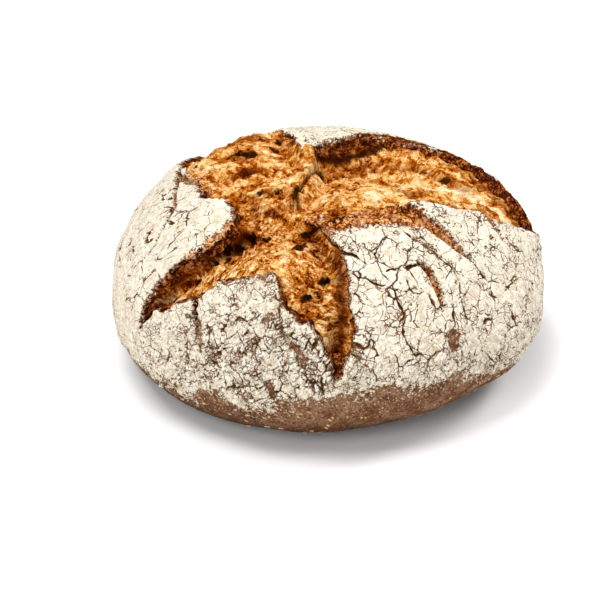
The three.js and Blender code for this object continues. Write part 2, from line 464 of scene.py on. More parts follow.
def large_pores() -> Spots:
    """The large pores that show: u, v, half the length, half the width and depth."""
    return (
        (-56, 20, 4.4, 4.5, 2.2), (-52, 18, 4.0, 3.6, 2), (-48, 19, 3.4, 3.6, 2),
        (-34, 27, 2.8, 2.2, 1.6), (-31, 36, 2.2, 3.2, 2), (-73, 8, 1.1, 2.4, 1),
        (-43, -28, 2.0, 1.8, 1.6), (-32, -32, 2.4, 2.0, 1.6), (-21, -36, 1.8, 5, 4),
        (-60, -65, 3.6, 3.2, 5), (-54, -67, 3.0, 3.2, 5), (-47, -64, 3.2, 2.6, 4),
        (-60.5, -71, 2.6, 1.6, 5), (-38.5, -66, 2.6, 1.2, 4), (-67, -69, 1.8, 1.4, 3),
        (-90.5, -76, 2.2, 2.6, 3.5), (-78, -74.5, 2.0, 2.2, 3.5), (-84, -63, 1.6, 1.2, 3),
        (-17, -76.5, 3.4, 2.2, 2), (-14.5, -68.5, 2.4, 1.5, 3), (-3.5, -95, 2.8, 1.8, 4),
        (-13, -101.5, 3.6, 1.3, 4), (-20, -107.5, 2.4, 1.3, 3.5), (4.5, -126, 1.8, 1.4, 3),
        (75, 15, 2.8, 1.8, 3.5), (81.5, 5, 1.4, 1.2, 2.5),
    )


def pale_zones() -> Zones:
    """Stretched, paler crumb, and a painted highlight along the flap's edge: the share, then u, v and reach
    along it.
    """
    return {
        "fold_patch": (1.0, ((-33, -17, 4), (-27, -20, 6), (-21, -23, 4))),
        "fold_film": (1.0, ((-39, 22, 2.5), (-34, 21, 2.5))),
        "fold_left": (0.5, ((-66, 16, 5), (-60, 6, 5))),
        "fold_low": (0.45, ((-60, -14, 5), (-46, -14, 5))),
        # A painted highlight along the flap's lit edge.
        "flap_edge_highlight": (0.25, ((-20.5, -30, 0.7), (-16.5, -20, 0.7), (-12, -5, 0.7), (-10, 8, 0.7),
                             (-11.5, 18, 0.7), (-16.5, 27, 0.7))),
        "blotches": (0.5, ((-25, -64, 4), (-24.5, -72, 4))),
        "low_blotch": (0.4, ((-24, -86, 4), (-16, -89, 4))),
        "fan": (0.15, ((-46, -74, 5), (-34, -77, 7), (-20, -85, 7))),
        "trough_floor": (0.9, ((28, 0, 9), (50, 4, 9), (66, 6, 8))),
        "gold_pleat": (0.7, ((8, -42, 10), (30, -36, 9), (44, -26, 8))),
        "pleat_crest": (1.1, ((44, -16, 8), (62, -16, 8), (80, -14, 7))),
        "cream_end": (1.5, ((80, 6, 7), (92, 4, 8), (104, -3, 6))),
        "left_lower": (0.4, ((-95, -79, 3), (-80, -81, 3), (-66, -84, 3))),
        "fork": (0.5, ((-6, -14, 7), (-8, -40, 6))),
    }


def scorch_and_shade_zones() -> Zones:
    """Darker, redder crumb where the oven toasted it, and painted shade where it lies deep: the share, then
    u, v and reach.
    """
    return {
        "lip": (1.0, ((-13, -69, 2.5), (-6, -64, 2.5), (3, -60, 3), (10, -59, 3))),
        "under_back": (1.0, ((-10, 20, 4), (2, 23, 5), (12, 26, 5), (24, 32, 5))),
        "hollow": (0.5, ((-4, 8, 6), (12, 12, 8), (26, 18, 8))),
        "skyline": (0.5, ((30, 42, 6), (60, 40, 4), (84, 30, 3), (100, 18, 3), (114, 6, 3))),
        "right_dark": (0.6, ((78, 14, 4), (88, 10, 4))),
        "front_right": (0.9, ((4, -80, 3), (5, -90, 3.5), (6, -104, 3.5), (6, -113, 4), (5, -124, 3))),
        "front_left": (0.6, ((-28, -102, 2.5), (-22, -108, 3), (-12, -112, 2.5))),
        "left_wall": (0.75, ((-108, -76, 2.5), (-90, -69, 3), (-66, -66, 4), (-48, -61, 5))),
        "corner": (0.9, ((-33, -88, 2.5), (-29, -93, 2.5), (-27.5, -102, 2))),
        "strands": (0.5, ((-6, -78, 4), (4, -88, 4))),
        "fold_top": (0.7, ((-58, 44, 5), (-44, 46, 6), (-30, 42, 6), (-20, 30, 4))),
        "fold_streak": (0.9, ((-57, -11, 1.6), (-50, -5, 2.0), (-42, 1, 1.6))),
        "fold_second": (0.6, ((-48, -7, 1.8), (-40, -9, 1.8))),
        "fold_foot": (0.2, ((-50, -40, 5), (-36, -44, 6), (-30, -54, 6))),
    }


def painted_shade_zones() -> Zones:
    """Deep hollows whose shade is painted into the crumb's colour: the share, then u, v and reach along it.
    """
    return {
        "under_back": (1.0, ((-9, 18, 4), (2, 21, 5.5), (12, 25, 5), (24, 31, 4), (34, 36, 3))),
        "left_cavity": (0.75, ((-68, -66, 3), (-58, -67, 4.5), (-48, -62, 3.5))),
        "left_end": (0.5, ((-106, -76, 2.5), (-94, -70, 3))),
        "lip_shadow": (0.8, ((-13, -68, 1.8), (-5, -65, 2.2), (4, -62, 1.6))),
        "front_wall": (0.55, ((2, -82, 2.5), (4, -96, 3), (6, -112, 3.5), (4, -124, 2.5))),
        "flap_foot": (0.85, ((-19, -50, 1.6), (-20, -38, 2.2), (-16.5, -26, 1.8), (-12.5, -14, 1.8),
                             (-8, -2, 2), (-6, 10, 3))),
    }


def lies() -> Spots:
    """Lie of the strands over the star: u, v, turn from +u in degrees, reach, and how much they shrink."""
    return (
        (-22, -4, 42, 14, 3), (-20, 22, 30, 12, 3), (-50, 44, 20, 22, 3), (-56, 10, 36, 24, 3),
        (-40, -16, 40, 18, 2.5), (-42, -42, 50, 18, 2), (-14, -30, 70, 12, 3), (22, 16, 98, 22, 2),
        (62, 24, 80, 20, 2), (16, -24, 26, 16, 1), (50, -12, 16, 22, 1), (92, 0, 20, 20, 1.5),
        (-88, -74, 100, 18, 1.5), (-58, -70, 62, 18, 2), (-30, -74, -30, 14, 1), (-14, -88, -35, 14, 1),
        (0, -86, 62, 10, 1), (-4, -108, -8, 16, 1), (2, -124, 10, 12, 1.5), (-2, -58, 20, 12, 1),
    )


def add_zones(u: Array, v: Array, zones: Zones) -> Array:
    """Takes the largest of several soft zones, each a share times a soft ridge along its spine."""
    return np.maximum.reduce([share * bump_along(u, v, spine) for share, spine in zones.values()])


@dataclass(frozen=True)
class TornStar:
    """The tear in the crust: its arms, the plates' slits, and the swells of the crumb in it."""

    arms: Strokes = field(default_factory=torn_arms)
    slits: Strokes = field(default_factory=slits)
    patches: Strokes = field(default_factory=bare_patches)
    skins: Strokes = field(default_factory=torn_skins)
    burnt: Strokes = field(default_factory=burnt_rims)
    main_cracks: Strokes = field(default_factory=main_cracks)
    swells: Zones = field(default_factory=swells)
    wander: float = 2.4
    wander_gap: float = 11.0
    fray: Sizes = ((1.6, 4.6), (0.4, 2.0))
    hollow_ramp: tuple[float, float] = (-0.5, 6.0)

    def edge(self, u: Array, v: Array) -> tuple[Array, Nearness]:
        """Signed distance to the plates' ragged edge, negative on the crumb: strokes plus wandering noise.

        Args:
            u: chart places to the right, in millimetres.
            v: chart places to the back, in millimetres.

        Returns:
            The distance in millimetres, and the nearness to the closest arm.
        """
        near = by_strokes(u, v, self.arms)
        flat = on_chart(u, v)
        stray = self.wander * noise(flat, self.wander_gap)
        return near.outside + stray + crags(flat, self.fray), near

    def swell(self, u: Array, v: Array, edge: Array) -> Array:
        """Height of the crumb's swells and hollows together, the hollows running out at the plates' edges.

        Args:
            u: chart places to the right, in millimetres.
            v: chart places to the back, in millimetres.
            edge: signed distance to the plates' edge, in millimetres.

        Returns:
            The height in millimetres.
        """
        inner = smoothstep(*self.hollow_ramp, -edge)
        total = np.zeros_like(u)
        for lift, spine in self.swells.values():
            total += lift * bump_along(u, v, spine) * (inner if lift < 0.0 else 1.0)
        return total


@dataclass
class Surface:
    """Points of a piece in millimetres, with its marks: a number a point, or three for the fibres' lie."""

    points: Array
    marks: dict[Mark, Array]


@dataclass(frozen=True)
class Truing:
    """The shift and stretch that bring the worked-out loaf to the solid's box."""

    shift: Array
    stretch: Array

    def apply(self, points: Array) -> Array:
        """Shifts and stretches points, in millimetres."""
        return (points + self.shift) * self.stretch


@dataclass(frozen=True)
class Cover:
    """The flour on the crust: cracks, thickness, the lie of its slabs and clumps, and how crumbly it is."""

    crack: Array
    flour: Array
    lift: Array
    shade: Array
    grain: Array


@dataclass(frozen=True)
class Crackle:
    """One size of crack in the flour: walls of random cells, open where a noise is high."""

    cell: float
    cell_seed: int
    half_width: float
    least: float
    swing: float
    swing_gap: float
    swing_seed: int
    most: float
    shut: float = -2.0

    def cells(self, points: Array) -> Cells:
        """The cells whose walls crack."""
        return cells(points, self.cell, self.cell_seed)

    def half_at(self, points: Array) -> Array:
        """Half the crack's width, half_width x (least + swing x noise), negative where it is shut."""
        share = self.least + self.swing * noise(points, self.swing_gap, self.swing_seed)
        return self.half_width * np.clip(share, self.shut, self.most)


@dataclass(frozen=True)
class Crust:
    """The crust with its plates, rims, cracks and flour."""

    dome: Dome
    star: TornStar
    lumps: Sizes = ((1.6, 38.0), (0.7, 15.0))
    foot_blend: float = 12.0
    rim_lift: float = 1.8
    rim_width: float = 9.0
    lip_reach: float = 0.9
    lip_thickness: float = 2.2
    lip_drop: float = 5.0
    undercut: float = 4.0
    slit_depth: float = 3.0
    flour_height: float = 0.65
    crack_depth: float = 0.8
    flour_turns: tuple[float, ...] = (-180, -126, -119, -110, -102, -90, -64, -50, -38, 0, 90, 180)
    flour_reach: tuple[float, ...] = (154, 152, 147, 150, 146, 139, 139, 144, 148, 152, 148, 154)
    granular: Spine = ((-112, -92, 22), (-62, -116, 28), (-12, -128, 20))
    smooth_plate: Spine = ((-104, 12, 34), (-96, -40, 40))
    wide: Crackle = Crackle(11.0, 21, 0.23, 0.85, 1.3, 10.0, 31, 1.5)
    thin: Crackle = Crackle(5.5, 22, 0.2, 0.1, 2.2, 8.0, 32, 1.0)
    gaps: Crackle = Crackle(3.2, 23, 0.27, 0.5, 1.6, 5.0, 33, 1.4)
    long: Crackle = Crackle(5.0, 24, 0.3, 0.45, 2.4, 7.0, 34, 1.0)
    long_lean: tuple[float, float, float] = (0.75, 0.0, 0.66)
    long_draw: float = 0.64
    crack_stray: Sizes = ((1.3, 5.0), (0.7, 2.2))
    clump_round: float = 0.4
    pimples: Sizes = ((0.26, 2.6), (0.16, 1.2))
    torn_crags: Sizes = ((1.1, 3.2), (0.6, 1.5))
    burnt_crags: Sizes = ((1.3, 4.0), (0.8, 1.8))

    def main_crack(self, u: Array, v: Array) -> Array:
        """Signed distance to the widest cracks, whose lines and widths stray by noise.

        Args:
            u: chart places to the right, in millimetres.
            v: chart places to the back, in millimetres.

        Returns:
            The distance in millimetres, negative in a crack.
        """
        flat = on_chart(u, v)
        bent_u = u + crags(flat, self.crack_stray)
        bent_v = v + crags(flat + 50.0, self.crack_stray)
        near = by_strokes(bent_u, bent_v, self.star.main_cracks)
        return near.gap - 0.9 * near.width * np.clip(1.0 + 1.4 * noise(flat, 3.4, 35), 0.0, 2.0)

    def bare_end(self, turn: Array, reach: Array, smooth: Array) -> Array:
        """How far a place lies above the ragged line where the flour ends: the line's reach plus noise.

        Args:
            turn: turns from +u, in radians.
            reach: chart distance from the crown, in millimetres.
            smooth: points of the plain dome, in millimetres.

        Returns:
            The distance in millimetres, negative on the bare crust.
        """
        degrees = np.degrees(np.arctan2(np.sin(turn), np.cos(turn)))
        above = np.interp(degrees, self.flour_turns, self.flour_reach) - reach + 4.0 * noise(smooth, 12.0, 7)
        return above + 1.8 * noise(smooth, 4.0, 8)

    def flour_on(self, turn: Array, reach: Array, smooth: Array, edge: Array) -> Cover:
        """The flour: a thickness that dies out down the side, parted by cracks and gaps.

        Cracks are walls of random cells: wide ones round large cells, thin ones round middling cells, both
        where a noise is high, narrow gaps round small cells where the flour is crumbly, and long ones on the
        left plate. The thickness is a noise raised by the plate's own share.

        Args:
            turn: turns from +u, in radians.
            reach: chart distance from the crown, in millimetres.
            smooth: points of the plain dome, in millimetres.
            edge: signed distance to the tear, in millimetres.

        Returns:
            The signed distances to cracks and to bare crust, the flour's height, each slab's own shade, and
            how crumbly the flour is.
        """
        u, v = reach * np.cos(turn), reach * np.sin(turn)
        above = self.bare_end(turn, reach, smooth)
        bent = smooth + strays(smooth, 2.4, 12.0, (11, 12, 13)) + strays(smooth, 1.1, 3.2, (14, 15, 16))
        calm = np.clip(bump_along(u, v, self.smooth_plate) * 1.3, 0.0, 1.0)
        low = smoothstep(24.0, 6.0, above)
        grain = np.clip(bump_along(u, v, self.granular) * 1.5, 0.0, 1.0)
        grain = np.maximum(grain, 0.8 * low) * (1.0 - 0.5 * calm)
        large, middling, small = (crackle.cells(bent) for crackle in (self.wide, self.thin, self.gaps))
        lean = np.array(self.long_lean)
        drawn = self.long.cells(bent - self.long_draw * np.sum(bent * lean, axis=-1, keepdims=True) * lean)
        crack = np.minimum.reduce([
            large.wall - (self.wide.half_at(smooth) - 0.6 * calm),
            middling.wall - (self.thin.half_at(smooth) - 0.6 * calm),
            small.wall - (self.gaps.half_at(smooth) - 0.8 * (1.0 - grain)),
            drawn.wall - (self.long.half_at(smooth) - 0.8 * (1.0 - calm)),
            self.main_crack(u, v),
        ])
        crack = crack + 3.0 * smoothstep(3.0, -3.0, above) + 3.0 * smoothstep(-0.6, -1.6, edge)
        fluff = 0.7 * noise(smooth, 3.3, 36) + 0.45 * noise(smooth, 1.6, 37)
        share = 1.1 - 0.4 * grain + 0.2 * smoothstep(6.0, 1.0, edge) * (1.0 - calm)
        bare = by_strokes(u, v, self.star.patches).outside
        skin = by_strokes(u, v, self.star.skins | self.star.burnt).outside
        slit = by_strokes(u, v, self.star.slits).outside
        skin = 0.35 * skin + 0.5 * noise(smooth, 7.0, 39)
        thick = np.minimum.reduce([share, 0.22 * above, 0.5 * bare, skin]) + fluff
        flour = np.minimum.reduce([thick, 0.8 * slit, edge - 0.1 + 1.2 * noise(smooth, 2.8, 38)])
        present = smoothstep(-0.1, 0.3, flour) * (0.4 + 0.6 * smoothstep(-0.25, 0.1, crack))
        slab = 0.55 * (large.number - 0.5) * (1.0 - grain) * (1.0 - calm)
        clump = 0.8 * grain * (1.0 - np.exp(-small.wall / self.clump_round)) + 0.3 * np.clip(thick, 0.0, 1.5)
        lift = present * (self.flour_height + slab + clump) - self.crack_depth * smoothstep(0.0, -0.4, crack)
        shade = 0.5 + 0.4 * (large.number - 0.5) * (1.0 - grain) + 0.5 * (small.number - 0.5) * grain
        coarse = np.clip(0.45 * (1.0 - calm) + 0.55 * grain, 0.0, 1.0)
        return Cover(crack, flour, lift, shade, coarse)

    def ground(self, u: Array, v: Array) -> Surface:
        """The crust over chart places given by u and v."""
        return self.surface(np.arctan2(v, u), np.hypot(u, v))

    def surface(self, turn: Array, reach: Array) -> Surface:
        """The crust over chart places: dome, curled rims, lumps, slits, flour clumps and cracks.

        Near a plate's edge the crust runs out over the tear as a lip, rounds down by its thickness, and drops
        back under itself.

        Args:
            turn: turns from +u, in radians.
            reach: distances from the crown on the chart, in millimetres.

        Returns:
            The points and the marks of the finish.
        """
        u, v = reach * np.cos(turn), reach * np.sin(turn)
        direction = self.dome.direction(turn, reach)
        radius = self.dome.radius(direction)
        smooth = direction * radius[..., None]
        fade = smoothstep(0.0, self.foot_blend, smooth[..., 2] + self.dome.girth_height)
        edge, near = self.star.edge(u, v)
        stray = 0.9 * noise(smooth, 3.2, 41)
        slit = by_strokes(u, v, self.star.slits).outside + stray
        skin = by_strokes(u, v, self.star.skins).outside + 2.0 * stray
        burnt = by_strokes(u, v, self.star.burnt).outside + 2.0 * stray
        cover = self.flour_on(turn, reach, smooth, edge)
        rim = self.rim_lift * np.exp(-((np.maximum(edge, 0.0) / self.rim_width) ** 2))
        lip = -self.lip_thickness * smoothstep(0.2, -1.4, edge)
        drop = -self.lip_drop * smoothstep(-1.4, -4.0, edge)
        trench = -self.slit_depth * smoothstep(0.3, -1.6, slit)
        torn = smoothstep(0.5, -0.5, np.minimum(slit, skin))
        pimples = crags(smooth, self.pimples) + torn * crags(smooth, self.torn_crags)
        pimples += smoothstep(0.5, -1.0, burnt) * crags(smooth, self.burnt_crags)
        height = rim + lip + drop + trench + cover.lift + pimples + crags(smooth, self.lumps)
        points = self.dome.place(direction, radius + fade * height)
        out = self.lip_reach * smoothstep(3.0, 0.0, edge) - self.undercut * smoothstep(-0.8, -4.0, edge)
        across = on_chart(near.way_u, near.way_v)
        across = across - direction * np.sum(across * direction, axis=-1, keepdims=True)
        across /= np.linalg.norm(across, axis=-1, keepdims=True) + TINY
        points = points + across * (fade * out * smoothstep(6.0, 0.0, np.abs(edge)))[..., None]
        marks = {
            Mark.FLOUR: cover.flour,
            Mark.CRACK: cover.crack,
            Mark.TEAR: np.minimum(edge, burnt - 0.3),
            Mark.SKIN: np.minimum(slit + 0.3, skin),
            Mark.TOAST: cover.shade,
            Mark.GRAIN: cover.grain,
        }
        return Surface(points, marks)


@dataclass(frozen=True)
class Crumb:
    """The torn crumb that shows in the star."""

    dome: Dome
    star: TornStar
    folds: Strokes = field(default_factory=folds)
    large_pores: Spots = field(default_factory=large_pores)
    pale: Zones = field(default_factory=pale_zones)
    # Crumb toasted by the oven, and painted shade in the deep zones.
    scorched_and_shaded: Zones = field(default_factory=scorch_and_shade_zones)
    # Deep hollows whose shade is painted in.
    dark: Zones = field(default_factory=painted_shade_zones)
    lies: Spots = field(default_factory=lies)
    lumps: Sizes = ((2.4, 14.0), (1.5, 7.0))
    fine_lumps: Sizes = ((0.9, 4.6), (0.35, 2.0), (0.2, 1.1))
    edge_sink: float = 3.0
    sink: float = 6.0
    sink_ramp: float = 9.0
    tuck: float = 0.9
    strand_length: float = 6.0
    strand_width: float = 1.3
    strand_lift: float = 0.12
    flake_length: float = 13.0
    flake_width: float = 5.0
    flake_lift: float = 1.4
    flake_steps: float = 3.5
    film_gap: float = 8.0
    pore_gap: float = 7.0
    pore_depth: float = 2.2
    fold_fade: float = 16.0
    fold_stray: Sizes = ((1.4, 4.5), (0.7, 2.0))
    overhang: float = 2.2
    strand_wave: Sizes = ((1.3, 6.0), (0.5, 2.4))

    def fibres(self, u: Array, v: Array) -> tuple[Array, Array]:
        """Places measured along and across the strands' own lie, which is that of the nearest listed place.

        Args:
            u: chart places to the right, in millimetres.
            v: chart places to the back, in millimetres.

        Returns:
            Millimetres along and across the lie and a level for each lie, shape (..., 3), and a share that
            falls to 0 where one lie meets the next.
        """
        flat = on_chart(u, v)
        bent_u, bent_v = u + 4.0 * noise(flat, 9.0, 48), v + 4.0 * noise(flat, 9.0, 49)
        wave = crags(flat, self.strand_wave)
        best = np.full(u.shape, np.inf)
        second = best.copy()
        places = np.zeros_like(flat)
        for number, (place_u, place_v, degrees, reach, shorter) in enumerate(self.lies):
            lie = math.radians(degrees)
            score = np.hypot(bent_u - place_u, bent_v - place_v) / reach
            closer = score < best
            second = np.where(closer, best, np.minimum(second, score))
            best = np.where(closer, score, best)
            along = (u * math.cos(lie) + v * math.sin(lie)) * shorter
            across = v * math.cos(lie) - u * math.sin(lie) + wave
            own = np.stack([along, across, np.full_like(u, 37.0 * number)], axis=-1)
            places = np.where(closer[..., None], own, places)
        return places, smoothstep(0.0, 0.12, second - best)

    def drawn_out(self, places: Array) -> tuple[Array, Array, Array]:
        """Noise drawn out along the lie: strands, the treads of torn flakes, and painted shade at the foot of
        each tread.

        Strands are ridged noise at two sizes. Flakes are noise cut into treads, each rising to the next by a
        short smooth step.

        Args:
            places: millimetres along and across the lie and its level, shape (..., 3).

        Returns:
            The strands, about -2 to 2; the flakes, about -1 to 1; and the painted shade at the feet of the
            steps, 0 to 1.
        """
        fibre = places / np.array([self.strand_length, self.strand_width, 1.0])
        strand = 0.6 * ridges(fibre, 1.0, 60) + 0.4 * ridges(fibre * 1.9, 1.0, 70)
        flake = places / np.array([self.flake_length, self.flake_width, 1.0])
        tread = (noise(flake, 1.0, 100) + 0.25 * noise(fibre, 1.6, 90)) * self.flake_steps
        part = tread - np.floor(tread)
        flakes = (np.floor(tread) + smoothstep(0.3, 0.5, part)) / self.flake_steps
        return np.clip((strand - 0.5) / 0.3, -2.0, 2.0), flakes, np.exp(-(((part - 0.28) / 0.1) ** 2))

    def pores(self, u: Array, v: Array) -> tuple[Array, Array, Array]:
        """Pores and films of the crumb: hollows round some seeds of random cells, and the large ones.

        A film is the smooth skin of a stretched bubble: the inside of some larger random cells.

        Args:
            u: chart places to the right, in millimetres.
            v: chart places to the back, in millimetres.

        Returns:
            The painted shade of the pores, 0 to 1, their depth in millimetres, and the share of film, 0 to 1.
        """
        flat = on_chart(u, v)
        seeds = (81, 82, 83)
        bent = flat + (strays(flat, 2.0, 3.6, seeds) + strays(flat, 0.8, 1.5, seeds))
        found = cells(bent * np.array([1.0, 1.25, 0.0]), self.pore_gap, 84)
        size = np.clip(7.0 * (found.number - 0.84), 0.0, 1.1)
        # Painted shade inside each small pore.
        dark = smoothstep(1.0, 0.4, found.seed_gap / np.maximum(size, 0.05)) * (size > 0.3)
        depth = self.pore_depth * dark
        for place_u, place_v, half_u, half_v, deep in self.large_pores:
            out = np.hypot((bent[..., 0] - place_u) / half_u, (bent[..., 1] - place_v) / half_v)
            # Painted shade inside each large pore.
            dark = np.maximum(dark, smoothstep(1.45, 0.7, out))
            depth = np.maximum(depth, deep * smoothstep(1.05, 0.3, out))
        bubbles = cells(bent * np.array([1.0, 1.3, 0.0]) + 70.0, self.film_gap, 86)
        film = smoothstep(0.2, 1.4, bubbles.wall) * smoothstep(0.5, 0.62, bubbles.number)
        return dark, depth, film * (1.0 - dark)

    def overlaps(self, u: Array, v: Array) -> tuple[Array, Array, Array, Array]:
        """Torn edges that lie over what is below them.

        On a fold's left side the crumb is raised by its lift, fading behind the edge; the edge leans out over
        the right side, and the crumb right under it gets a painted shadow.

        Args:
            u: chart places to the right, in millimetres.
            v: chart places to the back, in millimetres.

        Returns:
            The height, the lean along u and along v, all in millimetres, and the painted shadow, 0 to 1.
        """
        stray = crags(np.stack([u, v, np.full_like(u, 40.0)], axis=-1), self.fold_stray)
        height, lean_u, lean_v, dark = (np.zeros_like(u) for _ in range(4))
        for spine in self.folds.values():
            near = by_spine(u, v, spine, by_edge=False)
            over = near.gap * near.side + stray
            lift = near.width
            behind = np.exp(-((np.maximum(over, 0.0) / self.fold_fade) ** 2))
            height += lift * smoothstep(-0.5, 0.6, over) * behind
            lean = self.overhang * lift / 6.0 * np.exp(-(((over - 0.4) / 1.3) ** 2)) * near.side
            lean_u += lean * near.way_u
            lean_v += lean * near.way_v
            share = np.clip(lift / 3.0, 0.0, 1.0)
            # Painted shadow on the crumb right under the fold's edge.
            dark = np.maximum(dark, share * np.exp(-(((over + 1.4) / 1.3) ** 2)))
        return height, lean_u, lean_v, dark

    def surface(self, u: Array, v: Array) -> Surface:
        """The crumb over chart places: sunk below the plates, with swells, crags, folds, strands and pores.

        Args:
            u: chart places to the right, in millimetres.
            v: chart places to the back, in millimetres.

        Returns:
            The points and the marks of the finish.
        """
        edge, _ = self.star.edge(u, v)
        fold, lean_u, lean_v, under = self.overlaps(u, v)
        places, whole = self.fibres(u, v)
        # foot is the painted shade at the feet of the flake treads.
        strand, flake, foot = self.drawn_out(places)
        pore_shade, hollow, film = self.pores(u, v)
        turn, reach = np.arctan2(v, u), np.hypot(u, v)
        smooth_way = self.dome.direction(turn, reach)
        smooth = smooth_way * self.dome.radius(smooth_way)[..., None]
        shifted_u, shifted_v = u + lean_u, v + lean_v
        direction = self.dome.direction(np.arctan2(shifted_v, shifted_u), np.hypot(shifted_u, shifted_v))
        radius = self.dome.radius(direction)
        sunk = self.edge_sink + (self.sink - self.edge_sink) * smoothstep(0.0, self.sink_ramp, -edge)
        tucked = self.tuck * np.maximum(edge, 0.0)
        lumps = crags(smooth, self.lumps)
        calm = 1.0 - 0.6 * film
        fine = crags(smooth, self.fine_lumps) * calm
        drawn = whole * calm * (self.flake_lift * flake + self.strand_lift * strand)
        inner = smoothstep(1.0, -3.0, edge)
        height = self.star.swell(u, v, edge) - sunk - tucked + lumps
        height += inner * (fold + drawn + fine - hollow - 1.2 * under - 0.4 * film)
        points = self.dome.place(direction, radius + height)
        burnt = 0.7 * np.exp(-((np.maximum(-edge, 0.0) / 2.0) ** 2))
        marks = {
            # The relief also sets the colour: painted shade in the low places and painted light on the raised
            # ones.
            Mark.RELIEF: whole * (0.07 * strand + 0.42 * flake) + 0.45 * fine + 0.18 * lumps,
            Mark.PALE: np.maximum(add_zones(u, v, self.pale), 0.55 * film),
            # Toasting near the plates' edges and in some zones, and painted shade in the deep zones.
            Mark.SCORCH_AND_SHADE: np.maximum(add_zones(u, v, self.scorched_and_shaded), burnt),
            # Painted shade in the pores, under the folds' edges, at the feet of the flake treads and in the
            # deep hollows.
            Mark.DARK: np.maximum.reduce([pore_shade, 0.9 * under, 0.4 * foot * whole, add_zones(u, v, self.dark)]),
            Mark.FIBRE: places * MM,
        }
        return Surface(points, marks)


def srgb(red: int, green: int, blue: int) -> Colour:
    """Turns a screen colour into linear light.

    Args:
        red: 0 to 255.
        green: 0 to 255.
        blue: 0 to 255.

    Returns:
        The colour, 0 to 1 a channel.
    """
    shares = np.array([red, green, blue]) / 255.0
    linear = np.where(shares <= 0.04045, shares / 12.92, ((shares + 0.055) / 1.055) ** 2.4)
    return tuple(float(share) for share in linear)


